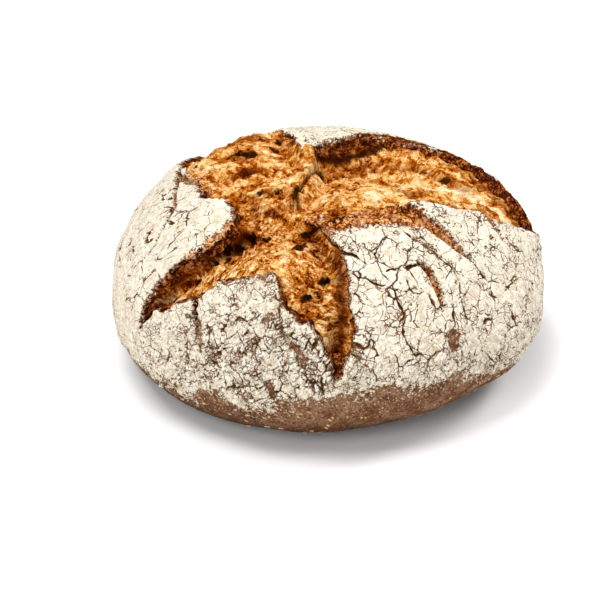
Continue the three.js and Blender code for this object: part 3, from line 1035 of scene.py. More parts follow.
class NodeKit:
    """Short words for the shader nodes that the finishes are made of; sizes are in millimetres."""

    usual: tuple[float, float] = (0.38, 0.62)

    def __init__(self, name: str) -> None:
        """Starts a material with an empty node tree.

        Args:
            name: the material's name.
        """
        self.material = bpy.data.materials.new(name)
        self.material.use_nodes = True
        self.tree = self.material.node_tree
        self.tree.nodes.clear()
        self.coordinates = self.node("ShaderNodeTexCoord", {}).outputs["Object"]

    def put(self, socket: Socket, value: object) -> None:
        """Links a socket to another, or sets it to a number or colour.

        Args:
            socket: an input of a node.
            value: another node's output, or a number, a place or a colour.
        """
        if isinstance(value, Socket):
            self.tree.links.new(value, socket)
        elif socket.type == "RGBA":
            socket.default_value = (*value, 1.0)
        else:
            socket.default_value = value

    def node(self, kind: str, inputs: dict[int | str, object], **settings: str) -> bpy.types.Node:
        """Adds a node.

        Args:
            kind: the node's type.
            inputs: what goes into which of its sockets.
            settings: the node's own choices, by name.

        Returns:
            The node.
        """
        node = self.tree.nodes.new(kind)
        for name, value in settings.items():
            setattr(node, name, value)
        for key, value in inputs.items():
            self.put(node.inputs[key], value)
        return node

    def mark(self, mark: Mark) -> Socket:
        """A vertex attribute as a number, or as a place where it has three."""
        node = self.node("ShaderNodeAttribute", {}, attribute_name=mark.value)
        return node.outputs["Vector" if mark is Mark.FIBRE else "Fac"]

    def math(self, work: str, *values: object) -> Socket:
        """A sum, product or other math of numbers."""
        return self.node("ShaderNodeMath", dict(enumerate(values)), operation=work).outputs[0]

    def add(self, *values: object) -> Socket:
        """Sum of numbers."""
        return functools.reduce(functools.partial(self.math, "ADD"), values)

    def times(self, *values: object) -> Socket:
        """Product of numbers."""
        return functools.reduce(functools.partial(self.math, "MULTIPLY"), values)

    def places(self, work: str, *values: object) -> Socket:
        """A sum, product or other math of places, axis by axis."""
        return self.node("ShaderNodeVectorMath", dict(enumerate(values)), operation=work).outputs[0]

    def bent(self, gap: float, stray: float) -> Socket:
        """Object places that stray along each axis, by 2 x stray x (noise - 1/2).

        Args:
            gap: spacing of the bends.
            stray: size of the bends.

        Returns:
            The bent places.
        """
        inputs = {"Vector": self.coordinates, "Scale": 1.0 / (gap * MM), "Detail": 2.0}
        bends = self.node("ShaderNodeTexNoise", inputs).outputs["Color"]
        centred = self.places("SUBTRACT", bends, (0.5, 0.5, 0.5))
        return self.places("MULTIPLY_ADD", centred, (2.0 * stray * MM,) * 3, self.coordinates)

    def along(self, axis: str) -> Socket:
        """Place along the axis X, Y or Z."""
        node = self.node("ShaderNodeSeparateXYZ", {0: self.coordinates})
        return self.math("DIVIDE", node.outputs[axis], MM)

    def walls(self, places: Socket, gap: float) -> Socket:
        """Distance to the walls of random cells.

        Args:
            places: where to measure.
            gap: spacing of the cells.

        Returns:
            The distance.
        """
        inputs = {"Vector": places, "Scale": 1.0 / (gap * MM)}
        node = self.node("ShaderNodeTexVoronoi", inputs, feature="DISTANCE_TO_EDGE")
        return self.times(node.outputs["Distance"], gap)

    def noise(
        self,
        gap: float,
        detail: float = 3.0,
        rough: float = 0.55,
        warp: float = 0.0,
        places: Socket | None = None,
    ) -> Socket:
        """Noise of 0 to 1, most of it near 1/2.

        Args:
            gap: spacing of the lumps.
            detail: how many finer layers there are.
            rough: how strong each finer layer is.
            warp: how much the lumps curl.
            places: where to measure, or else the object's own places.

        Returns:
            The noise.
        """
        inputs = {
            "Vector": places or self.coordinates,
            "Scale": 1.0 / (gap * MM),
            "Detail": detail,
            "Roughness": rough,
            "Distortion": warp,
        }
        return self.node("ShaderNodeTexNoise", inputs).outputs["Fac"]

    def ramp(self, value: object, low: float, high: float, start: float = 0.0, end: float = 1.0) -> Socket:
        """Smooth step of a number from start, at low, to end, at high."""
        inputs = dict(enumerate((value, low, high, start, end)))
        return self.node("ShaderNodeMapRange", inputs, interpolation_type="SMOOTHSTEP").outputs[0]

    def sway(self, value: Socket, size: float) -> Socket:
        """A noise spread evenly from -size to size."""
        return self.ramp(value, *self.usual, -size, size)

    def lines(self, value: Socket, half: float) -> Socket:
        """Thin lines, 1 where a noise crosses its middle and 0 further off than half."""
        return self.ramp(self.math("ABSOLUTE", self.math("SUBTRACT", value, 0.5)), half, 0.0)

    def mix(self, share: object, a: object, b: object) -> Socket:
        """Mixes colour b into colour a by a share."""
        return self.node("ShaderNodeMix", {0: share, 6: a, 7: b}, data_type="RGBA").outputs[2]

    def shades(self, value: Socket, spread: tuple[float, float], stops: Stops) -> Socket:
        """A colour for a number.

        Args:
            value: the number.
            spread: the lowest and the highest number.
            stops: numbers with their colours, between which the colours blend.

        Returns:
            The colour.
        """
        low, high = spread
        share = self.math("DIVIDE", self.math("SUBTRACT", value, low), high - low)
        node = self.node("ShaderNodeValToRGB", {0: share})
        elements = node.color_ramp.elements
        while len(elements) < len(stops):
            elements.new(0.5)
        for element, (number, colour) in zip(elements, stops):
            element.position = (number - low) / (high - low)
            element.color = (*colour, 1.0)
        return node.outputs[0]

    def bump(self, height: Socket, distance: float, strength: float) -> Socket:
        """Shading relief of a height of 0 to 1 over a distance."""
        inputs = {"Strength": strength, "Distance": distance * MM, "Height": height}
        return self.node("ShaderNodeBump", inputs).outputs["Normal"]

    def finish(self, colour: Socket, rough: float, normal: Socket, shine: float) -> bpy.types.Material:
        """Ends the tree with one surface shader.

        Args:
            colour: the surface's colour.
            rough: its roughness.
            normal: its shading relief.
            shine: its specular level.

        Returns:
            The material.
        """
        inputs = {"Base Color": colour, "Roughness": rough, "Normal": normal, "Specular IOR Level": shine}
        shader = self.node("ShaderNodeBsdfPrincipled", inputs)
        self.node("ShaderNodeOutputMaterial", {0: shader.outputs[0]})
        return self.material


@dataclass(frozen=True)
class Hairline:
    """One size of hairline crack: walls of random cells on bent places, open where a noise is high."""

    cell: float
    bend_gap: float
    bend: float
    patch_gap: float
    patch: tuple[float, float]
    half_width: tuple[float, float]
    narrowed: tuple[tuple[float, float, float], ...]

    def measure(self, kit: NodeKit, coarse: Socket) -> tuple[Socket, Socket]:
        """Works out where the cracks run: the wall's distance less half the crack's width.

        Args:
            kit: the material's nodes.
            coarse: how crumbly the flour is, which narrows the cracks from a low to a high share.

        Returns:
            The signed distance to a crack and half its width, negative where it is shut.
        """
        wall = kit.walls(kit.bent(self.bend_gap, self.bend), self.cell)
        half = kit.ramp(kit.noise(self.patch_gap, 2.0), *self.patch, *self.half_width)
        less = [kit.ramp(coarse, low, high, 0.0, change) for low, high, change in self.narrowed]
        half = kit.add(half, *less)
        return kit.math("SUBTRACT", wall, half), half


@dataclass(frozen=True)
class Grains:
    """The crust's noises, from the finest specks to broad patches."""

    speck: Socket
    grain: Socket
    dust: Socket
    patchy: Socket


@dataclass(frozen=True)
class CrustFinish:
    """Chalky flour over a brown crust, dark in the cracks and amber in the slits."""

    flour_light: Colour = srgb(243, 234, 216)
    # Painted highlight beside the cracks.
    flour_highlight: Colour = srgb(254, 249, 238)
    flour_shade: Colour = srgb(214, 200, 174)
    flour_thin: Colour = srgb(172, 146, 104)
    crust_brown: Colour = srgb(110, 72, 49)
    crust_tan: Colour = srgb(142, 104, 77)
    crust_dark: Colour = srgb(62, 34, 19)
    # Painted shade towards the floor.
    foot_shade: Colour = srgb(40, 22, 13)
    crust_speck: Colour = srgb(186, 150, 108)
    crack_dark: Colour = srgb(72, 41, 15)
    crack_brown: Colour = srgb(122, 83, 40)
    mauve: Colour = srgb(150, 100, 82)
    skins: Stops = (
        (-1.0, srgb(60, 20, 4)),
        (-0.45, srgb(112, 50, 12)),
        (0.0, srgb(176, 96, 34)),
        (0.45, srgb(226, 156, 84)),
        (1.0, srgb(236, 184, 114)),
    )
    burns: Stops = (
        (-1.0, srgb(22, 5, 1)),
        (-0.45, srgb(58, 19, 3)),
        (0.0, srgb(86, 33, 4)),
        (0.45, srgb(124, 56, 13)),
        (1.0, srgb(190, 120, 52)),
    )
    spread: tuple[float, float] = (-1.1, 1.1)
    speck_gap: float = 0.6
    grain_gap: float = 1.15
    dust_gap: float = 2.6
    patch_gap: float = 9.0
    strewn_gap: float = 1.3
    foot_shade_rise: tuple[float, float] = (26.0, 5.0)
    roughness: float = 0.92
    relief: tuple[float, float] = (1.4, 0.7)
    shine: float = 0.05
    hairs: tuple[Hairline, ...] = (
        Hairline(7.4, 2.5, 1.0, 14.0, (0.4, 0.54), (-0.1, 0.16), ((0.3, 0.0, -0.06),)),
        Hairline(3.2, 1.6, 0.8, 9.0, (0.49, 0.59), (-0.14, 0.16), ((0.45, 0.1, -0.3), (0.6, 0.9, -0.12))),
        Hairline(1.8, 1.1, 0.6, 6.5, (0.47, 0.59), (-0.13, 0.14), ((0.8, 0.4, -0.2),)),
    )

    def hairlines(self, kit: NodeKit) -> tuple[Socket, Socket]:
        """Hairline cracks of the flour and the painted highlights beside them: walls of random cells of three
        sizes.

        Args:
            kit: the material's nodes.

        Returns:
            The share of crack and the share of painted highlight, 0 to 1.
        """
        coarse = kit.mark(Mark.GRAIN)
        line, edge = 0.0, 0.0
        for hair in self.hairs:
            away, half = hair.measure(kit, coarse)
            line = kit.math("MAXIMUM", line, kit.ramp(away, 0.04, -0.07))
            # Painted highlight beside each open hairline.
            edge = kit.math("MAXIMUM", edge, kit.times(kit.ramp(away, 0.5, 0.1), kit.ramp(half, 0.0, 0.1)))
        return line, edge

    def white(self, kit: NodeKit, grains: Grains, flour: Socket, lit: Socket) -> Socket:
        """Colour of the flour: each slab has its shade, and thin, worn and specked places are darker.

        Args:
            kit: the material's nodes.
            grains: the crust's noises.
            flour: the flour's thickness.
            lit: the share of painted highlight beside the cracks.

        Returns:
            The colour.
        """
        tone = kit.add(kit.sway(grains.dust, 0.35), kit.mark(Mark.TOAST))
        colour = kit.mix(kit.ramp(tone, 0.0, 0.8), self.flour_shade, self.flour_light)
        colour = kit.mix(kit.ramp(flour, 0.35, 0.0, 0.0, 0.6), colour, self.flour_thin)
        worn = kit.ramp(kit.mark(Mark.GRAIN), 0.3, 1.0, 0.4, 0.75)
        colour = kit.mix(kit.times(kit.ramp(grains.grain, 0.52, 0.38), worn), colour, self.flour_thin)
        colour = kit.mix(kit.ramp(grains.speck, 0.45, 0.36, 0.0, 0.55), colour, self.flour_thin)
        # Painted highlight: the flour turns whiter beside the cracks.
        return kit.mix(kit.times(lit, 0.4), colour, self.flour_highlight)

    def bare(self, kit: NodeKit, grains: Grains) -> Socket:
        """Colour of the bare crust: brown and tan patches with dark and pale specks, with painted shade
        darkening it towards the foot.

        Args:
            kit: the material's nodes.
            grains: the crust's noises.

        Returns:
            The colour.
        """
        colour = kit.mix(kit.ramp(grains.patchy, 0.42, 0.58), self.crust_brown, self.crust_tan)
        colour = kit.mix(kit.ramp(grains.grain, 0.48, 0.36, 0.0, 0.75), colour, self.crust_dark)
        colour = kit.mix(kit.ramp(grains.grain, 0.57, 0.66, 0.0, 0.7), colour, self.crust_speck)
        # Painted shade: darker towards the foot.
        return kit.mix(kit.ramp(kit.along("Z"), *self.foot_shade_rise, 0.0, 0.85), colour, self.foot_shade)

    def material(self) -> bpy.types.Material:
        """Builds the crust's material from its marks, hairline cracks and fine noise.

        Returns:
            The material.
        """
        kit = NodeKit("floured_crust")
        speck = kit.noise(self.speck_gap, 2.0, 0.6)
        grain = kit.noise(self.grain_gap, 3.0, 0.65)
        dust = kit.noise(self.dust_gap, 4.0, 0.65)
        patchy = kit.noise(self.patch_gap)
        grains = Grains(speck, grain, dust, patchy)
        hair, hair_highlight = self.hairlines(kit)
        flour = kit.add(kit.mark(Mark.FLOUR), kit.sway(grain, 0.32), kit.sway(speck, 0.12))
        strewn = kit.times(kit.ramp(kit.noise(self.strewn_gap, 2.0), 0.58, 0.64), kit.ramp(flour, -2.6, -0.2))
        covered = kit.math("MAXIMUM", kit.ramp(flour, -0.06, 0.06), strewn)
        away = kit.add(kit.mark(Mark.CRACK), kit.sway(speck, 0.07))
        crack = kit.math("MAXIMUM", kit.ramp(away, 0.04, -0.1), hair)
        # Painted highlight beside the cracks and hairlines.
        lit = kit.math("MAXIMUM", hair_highlight, kit.ramp(away, 0.5, 0.1))
        stray = kit.sway(dust, 0.6)
        torn = kit.ramp(kit.add(kit.mark(Mark.TEAR), stray), -0.3, -0.8)
        skinned = kit.ramp(kit.add(kit.mark(Mark.SKIN), stray), 0.25, -0.25)
        level = kit.add(kit.sway(dust, 0.7), kit.sway(grain, 0.6), kit.sway(speck, 0.35))
        level = kit.times(kit.add(level, kit.ramp(patchy, 0.4, 0.6, -0.3, 0.3)), 0.8)
        skin = kit.shades(level, self.spread, self.skins)
        skin = kit.mix(kit.times(kit.ramp(patchy, 0.46, 0.58), 0.35), skin, self.mauve)
        colour = kit.mix(skinned, self.bare(kit, grains), skin)
        colour = kit.mix(covered, colour, self.white(kit, grains, flour, lit))
        dry = kit.times(kit.math("SUBTRACT", 1.0, skinned), kit.ramp(flour, -0.6, -0.1))
        line = kit.mix(kit.ramp(away, -0.05, -0.3), self.crack_brown, self.crack_dark)
        colour = kit.mix(kit.times(dry, crack), colour, line)
        colour = kit.mix(torn, colour, kit.shades(level, self.spread, self.burns))
        height = kit.add(kit.times(grain, 0.5), kit.times(dust, 0.5), kit.times(speck, 0.35))
        height = kit.math("SUBTRACT", height, kit.times(crack, 0.4))
        return kit.finish(colour, self.roughness, kit.bump(height, *self.relief), self.shine)


@dataclass(frozen=True)
class CrumbFinish:
    """Golden torn crumb: painted shade in the pores and hollows, pale on the films, toasted along the
    strands.
    """

    tones: Stops = (
        (-1.3, srgb(56, 13, 0)),
        (-0.7, srgb(134, 58, 2)),
        (-0.2, srgb(181, 104, 24)),
        (0.3, srgb(215, 158, 82)),
        (0.8, srgb(237, 201, 140)),
        (1.4, srgb(250, 232, 198)),
    )
    toasted: Colour = srgb(152, 70, 16)
    light_hair: Colour = srgb(252, 222, 164)
    # Red-brown for the toasted crumb, also used as painted shade in the deep zones.
    scorched_and_shaded: Colour = srgb(92, 34, 10)
    # Near-black painted shade for the pores and hollows.
    pore_shade: Colour = srgb(32, 8, 0)
    mauve: Colour = srgb(208, 150, 98)
    wisps: tuple[tuple[float, Colour, float], ...] = (
        (3.4, srgb(140, 62, 6), 0.75),
        (2.3, srgb(116, 44, 2), 0.75),
        (2.8, srgb(250, 206, 132), 0.5),
        (1.9, srgb(255, 226, 166), 0.45),
    )
    spread: tuple[float, float] = (-1.5, 1.5)
    grain_gap: float = 0.95
    mottle_gap: float = 2.8
    blotch_gap: float = 6.0
    patch_gap: float = 13.0
    strand_gap: float = 1.1
    strand_draw: tuple[float, float, float] = (0.2, 1.0, 1.0)
    hair_gap: float = 0.9
    hair_draw: tuple[float, float, float] = (0.12, 1.0, 1.0)
    front: tuple[float, float] = (-10.0, -60.0)
    front_crispness: float = 1.7
    wisp_half: float = 0.028
    roughness: float = 0.7
    relief: tuple[float, float] = (0.8, 0.55)
    shine: float = 0.01

    def hairs(self, kit: NodeKit, colour: Socket, mottle: Socket, shown: Socket) -> Socket:
        """Draws light hairs along the strands and curled wisps over them.

        Args:
            kit: the material's nodes.
            colour: the crumb's colour so far.
            mottle: a noise that picks where hairs are strong.
            shown: the share of the hairs that shows.

        Returns:
            The colour with the hairs.
        """
        drawn = kit.places("MULTIPLY", kit.mark(Mark.FIBRE), self.hair_draw)
        hair = kit.noise(self.hair_gap, 2.0, 0.5, 0.8, drawn)
        light = kit.times(kit.lines(hair, 0.022), kit.ramp(mottle, 0.56, 0.46, 0.0, 0.3), shown)
        colour = kit.mix(light, colour, self.light_hair)
        for gap, tint, share in self.wisps:
            curl = kit.noise(gap, 2.0, 0.5, 1.6)
            here = kit.times(kit.ramp(kit.noise(2.2 * gap, 2.0), 0.46, 0.58, 0.0, share), shown)
            colour = kit.mix(kit.times(kit.lines(curl, self.wisp_half), here), colour, tint)
        return colour

    def material(self) -> bpy.types.Material:
        """Builds the crumb's material from its marks, strands and fine noise.

        Returns:
            The material.
        """
        kit = NodeKit("torn_crumb")
        grain = kit.noise(self.grain_gap, 4.0, 0.72)
        mottle = kit.noise(self.mottle_gap, 4.0, 0.6, 0.25)
        blotch = kit.noise(self.blotch_gap, 3.0, 0.6, 0.5)
        patchy = kit.noise(self.patch_gap, 2.0)
        scorch_and_shade = kit.mark(Mark.SCORCH_AND_SHADE)
        drawn = kit.places("MULTIPLY", kit.mark(Mark.FIBRE), self.strand_draw)
        strand = kit.noise(self.strand_gap, 3.0, 0.6, 0.4, drawn)
        rough = kit.ramp(grain, 0.36, 0.64, -1.0, 1.0)
        strands = kit.times(kit.sway(strand, 0.35), kit.ramp(patchy, 0.44, 0.56, 0.25, 1.0))
        crisp = kit.ramp(kit.along("Y"), *self.front, 1.0, self.front_crispness)
        fine = kit.times(kit.add(kit.times(rough, 0.28), strands), crisp)
        # The relief mark paints shade into the crumb's hollows and light onto its crests, over its own
        # mottled tone.
        lumps = kit.add(kit.mark(Mark.RELIEF), kit.sway(mottle, 0.35), kit.ramp(blotch, 0.4, 0.6, -0.55, 0.3))
        pale = kit.math("MULTIPLY_ADD", kit.mark(Mark.PALE), 0.9, -0.1)
        level = kit.math("SUBTRACT", kit.add(lumps, fine, pale), kit.times(scorch_and_shade, 0.9))
        colour = kit.shades(level, self.spread, self.tones)
        dull = kit.times(kit.ramp(patchy, 0.52, 0.62), kit.ramp(mottle, 0.45, 0.55, 0.0, 0.2))
        colour = kit.mix(dull, colour, self.mauve)
        toast = kit.times(kit.lines(strand, 0.03), kit.ramp(mottle, 0.44, 0.56, 0.1, 0.6))
        colour = kit.mix(toast, colour, self.toasted)
        colour = self.hairs(kit, colour, mottle, kit.ramp(level, -0.35, 0.25))
        # Redder, darker crumb: toasting by the oven, and painted shade in the deep zones.
        colour = kit.mix(kit.times(scorch_and_shade, kit.ramp(mottle, 0.4, 0.56, 0.1, 0.85)), colour, self.scorched_and_shaded)
        # Painted shade: near-black in the pores, the hollows and under the folds.
        deep = kit.add(kit.mark(Mark.DARK), kit.times(rough, 0.2))
        colour = kit.mix(kit.ramp(deep, 0.2, 1.0, 0.0, 0.95), colour, self.pore_shade)
        height = kit.add(kit.times(grain, 0.5), kit.times(mottle, 0.5), kit.times(strand, 0.25))
        return kit.finish(colour, self.roughness, kit.bump(height, *self.relief), self.shine)


@dataclass(frozen=True)
class BitFinish:
    """Crumbs of dry flour, chalky white to cream."""

    white: Colour = srgb(232, 218, 192)
    cream: Colour = srgb(176, 142, 100)
    grain_gap: float = 0.8
    patch_gap: float = 3.0
    roughness: float = 0.92
    relief: tuple[float, float] = (0.4, 0.6)
    shine: float = 0.02

    def material(self) -> bpy.types.Material:
        """Builds the bits' material from fine noise.

        Returns:
            The material.
        """
        kit = NodeKit("flour_bits")
        grain = kit.noise(self.grain_gap, 2.0, 0.6)
        colour = kit.mix(kit.ramp(kit.noise(self.patch_gap, 2.0), 0.42, 0.58), self.cream, self.white)
        return kit.finish(colour, self.roughness, kit.bump(grain, *self.relief), self.shine)


@dataclass(frozen=True)
class FlakeFinish:
    """Dry bran and oat flakes, pale gold to tan."""

    gold: Colour = srgb(214, 166, 92)
    tan: Colour = srgb(176, 132, 84)
    pale: Colour = srgb(232, 212, 176)
    flake_gap: float = 5.0
    grain_gap: float = 0.5
    roughness: float = 0.8
    relief: tuple[float, float] = (0.2, 0.5)
    shine: float = 0.2

    def material(self) -> bpy.types.Material:
        """Builds the flakes' material from noise over the whole loaf.

        Returns:
            The material.
        """
        kit = NodeKit("bran_flakes")
        each = kit.noise(self.flake_gap, 1.0)
        grain = kit.noise(self.grain_gap, 2.0, 0.6)
        colour = kit.mix(kit.ramp(each, 0.42, 0.58), self.tan, self.gold)
        colour = kit.mix(kit.ramp(grain, 0.5, 0.62, 0.0, 0.7), colour, self.pale)
        return kit.finish(colour, self.roughness, kit.bump(grain, *self.relief), self.shine)


def put_piece(
    name: str, surface: Surface, faces: Array, chart: Array, material: bpy.types.Material
) -> bpy.types.Object:
    """Puts worked-out points and faces into a mesh object, with its marks and its own flat map.

    A face whose last two numbers are the same is a triangle.

    Args:
        name: the piece's name.
        surface: points in millimetres, shape (n, 3), and marks, shape (n,) or (n, 3).
        faces: four point numbers a face, shape (m, 4).
        chart: place of each point on the flat map, from 0 to 1, shape (n, 2).
        material: the finish.

    Returns:
        The new object, at the origin.
    """
    used, renumbered = np.unique(faces, return_inverse=True)
    corners = renumbered.reshape(faces.shape)
    mesh = bpy.data.meshes.new(name)
    pointed = corners[:, 2] == corners[:, 3]
    shapes = corners[~pointed].tolist() + corners[pointed, :3].tolist()
    mesh.from_pydata((surface.points[used] * MM).tolist(), [], shapes)
    for mark, values in surface.marks.items():
        kind, entry = ("FLOAT_VECTOR", "vector") if values.ndim == 2 else ("FLOAT", "value")
        layer = mesh.attributes.new(mark.value, kind, "POINT")
        layer.data.foreach_set(entry, values[used].astype(np.float32).ravel())
    loops = np.empty(len(mesh.loops), dtype=np.int32)
    mesh.loops.foreach_get("vertex_index", loops)
    flat = mesh.uv_layers.new(name="OFBake")
    flat.data.foreach_set("uv", chart[used][loops].astype(np.float32).ravel())
    mesh.polygons.foreach_set("use_smooth", np.ones(len(mesh.polygons), dtype=bool))
    mesh.materials.append(material)
    mesh.update()
    piece = bpy.data.objects.new(name, mesh)
    bpy.context.scene.collection.objects.link(piece)
    return piece


def grid_quads(rows: int, columns: int) -> Array:
    """Quads of a grid of points numbered row by row, shape (rows - 1, columns - 1, 4)."""
    number = np.arange(rows * columns).reshape(rows, columns)
    return np.stack([number[:-1, :-1], number[1:, :-1], number[1:, 1:], number[:-1, 1:]], axis=-1)


def grid_normals(points: Array) -> Array:
    """Unit normals of a grid of points, from the cross product of its two slopes.

    Args:
        points: the grid, shape (rows, columns, 3).

    Returns:
        The normals, of the same shape.
    """
    down = np.gradient(points, axis=0)
    along = np.gradient(points, axis=1)
    normal = np.cross(down, along)
    return normal / (np.linalg.norm(normal, axis=-1, keepdims=True) + NO_LENGTH)


@dataclass(frozen=True)
class Sector:
    """One sector of the crust, between two turns."""

    name: str
    start: float
    end: float
    columns: int


@dataclass
class CrustSectors:
    """The crust as sectors of a grid in turn and reach, from inside the tear to the middle of the foot."""

    crust: Crust
    truing: Truing
    finish: CrustFinish
    sectors: tuple[Sector, ...] = (
        Sector("crust_left", -195.0, -128.0, 330),
        Sector("crust_front", -128.0, -61.0, 330),
        Sector("crust_right", -61.0, 6.0, 330),
        Sector("crust_back", 6.0, 165.0, 170),
    )
    top: float = 8.0
    flour_end: float = 157.0
    low: float = 188.0
    pitch: float = 0.47
    low_pitch: float = 0.7
    foot_rows: int = 10
    hidden: float = -4.0

    def reaches(self) -> Array:
        """Rows of the grid: close together on the flour, further apart below it and few on the foot.

        Returns:
            The reach of each row, in millimetres.
        """
        side = np.arange(self.top, self.flour_end, self.pitch)
        base = np.arange(self.flour_end, self.low, self.low_pitch)
        foot = np.linspace(self.low, math.pi * self.crust.dome.chart_radius, self.foot_rows)
        return np.concatenate([side, base, foot])

    def build(self) -> list[bpy.types.Object]:
        """Makes one piece for each sector, with normals taken across its borders.

        Returns:
            The pieces.
        """
        material = self.finish.material()
        return [self.build_sector(sector, material) for sector in self.sectors]

    def build_sector(self, sector: Sector, material: bpy.types.Material) -> bpy.types.Object:
        """Makes one sector, leaving out what lies hidden under the crumb.

        Args:
            sector: the turns and the number of columns.
            material: the crust's finish.

        Returns:
            The piece.
        """
        start, end = math.radians(sector.start), math.radians(sector.end)
        step = (end - start) / sector.columns
        turns = start + step * np.arange(-1, sector.columns + 2)
        reach, turn = np.meshgrid(self.reaches(), turns, indexing="ij")
        surface = self.crust.surface(turn, reach)
        points = self.truing.apply(surface.points)
        normals = grid_normals(points)[:, 1:-1].reshape(-1, 3)
        shown = (slice(None), slice(1, -1))
        rows, columns = reach[shown].shape
        edge, _ = self.crust.star.edge(*(reach[shown] * part(turn[shown]) for part in (np.cos, np.sin)))
        quads = grid_quads(rows, columns)
        kept = edge.reshape(-1)[quads].max(axis=-1) > self.hidden
        pole = (rows - 1) * columns
        quads = np.where(quads < pole, quads, pole)[..., [3, 0, 1, 2]]
        faces = quads[kept]
        across, down = np.meshgrid(np.linspace(0.01, 0.99, columns), np.linspace(0.99, 0.01, rows))
        chart = np.stack([across, down], axis=-1).reshape(-1, 2)
        marks = {mark: values[shown].reshape(-1) for mark, values in surface.marks.items()}
        flat = Surface(points[shown].reshape(-1, 3), marks)
        piece = put_piece(sector.name, flat, faces, chart, material)
        used = np.unique(faces)
        piece.data.normals_split_custom_set_from_vertices(normals[used].tolist())
        return piece


@dataclass
class CrumbBed:
    """The torn crumb as two sheets over the star, left and right, tucked under the plates' edges."""

    crumb: Crumb
    truing: Truing
    finish: CrumbFinish
    splits: tuple[tuple[str, float, float], ...] = (
        ("crumb_left", -116.0, -12.0),
        ("crumb_right", -12.0, 128.0),
    )
    depth: tuple[float, float] = (-142.0, 100.0)
    pitch: float = 0.38
    margin: float = 4.5

    def build(self) -> list[bpy.types.Object]:
        """Makes the crumb's pieces from the chart places inside the star and a margin round it.

        Returns:
            The pieces.
        """
        material = self.finish.material()
        return [self.build_sheet(name, start, end, material) for name, start, end in self.splits]

    def build_sheet(
        self, name: str, start: float, end: float, material: bpy.types.Material
    ) -> bpy.types.Object:
        """Makes one sheet, with normals taken across its border.

        Args:
            name: the piece's name.
            start: where it starts on the chart, along u, in millimetres.
            end: where it ends.
            material: the crumb's finish.

        Returns:
            The piece.
        """
        columns = round((end - start) / self.pitch)
        across = start + (end - start) / columns * np.arange(-1, columns + 2)
        down = np.arange(*self.depth, self.pitch)
        v, u = np.meshgrid(down, across, indexing="ij")
        outside = by_strokes(u, v, self.crumb.star.arms).outside
        quads = grid_quads(*u.shape)[:, :, ::-1]
        inside = outside.reshape(-1)[quads].max(axis=-1) < self.margin
        points = np.zeros((u.size, 3))
        wanted = (outside < self.margin + 2.0 * self.pitch).reshape(-1)
        found = self.crumb.surface(u.reshape(-1)[wanted], v.reshape(-1)[wanted])
        points[wanted] = self.truing.apply(found.points)
        normals = -grid_normals(points.reshape(*u.shape, 3)).reshape(-1, 3)
        marks = {mark: np.zeros((u.size, *values.shape[1:])) for mark, values in found.marks.items()}
        for mark, values in found.marks.items():
            marks[mark][wanted] = values
        inside[:, [0, -1]] = False
        faces = quads[inside]
        width, height = end - start, self.depth[1] - self.depth[0]
        chart = np.stack([(u - start) / width, (v - self.depth[0]) / height], axis=-1).reshape(-1, 2)
        piece = put_piece(name, Surface(points, marks), faces, chart, material)
        piece.data.normals_split_custom_set_from_vertices(normals[np.unique(faces)].tolist())
        return piece


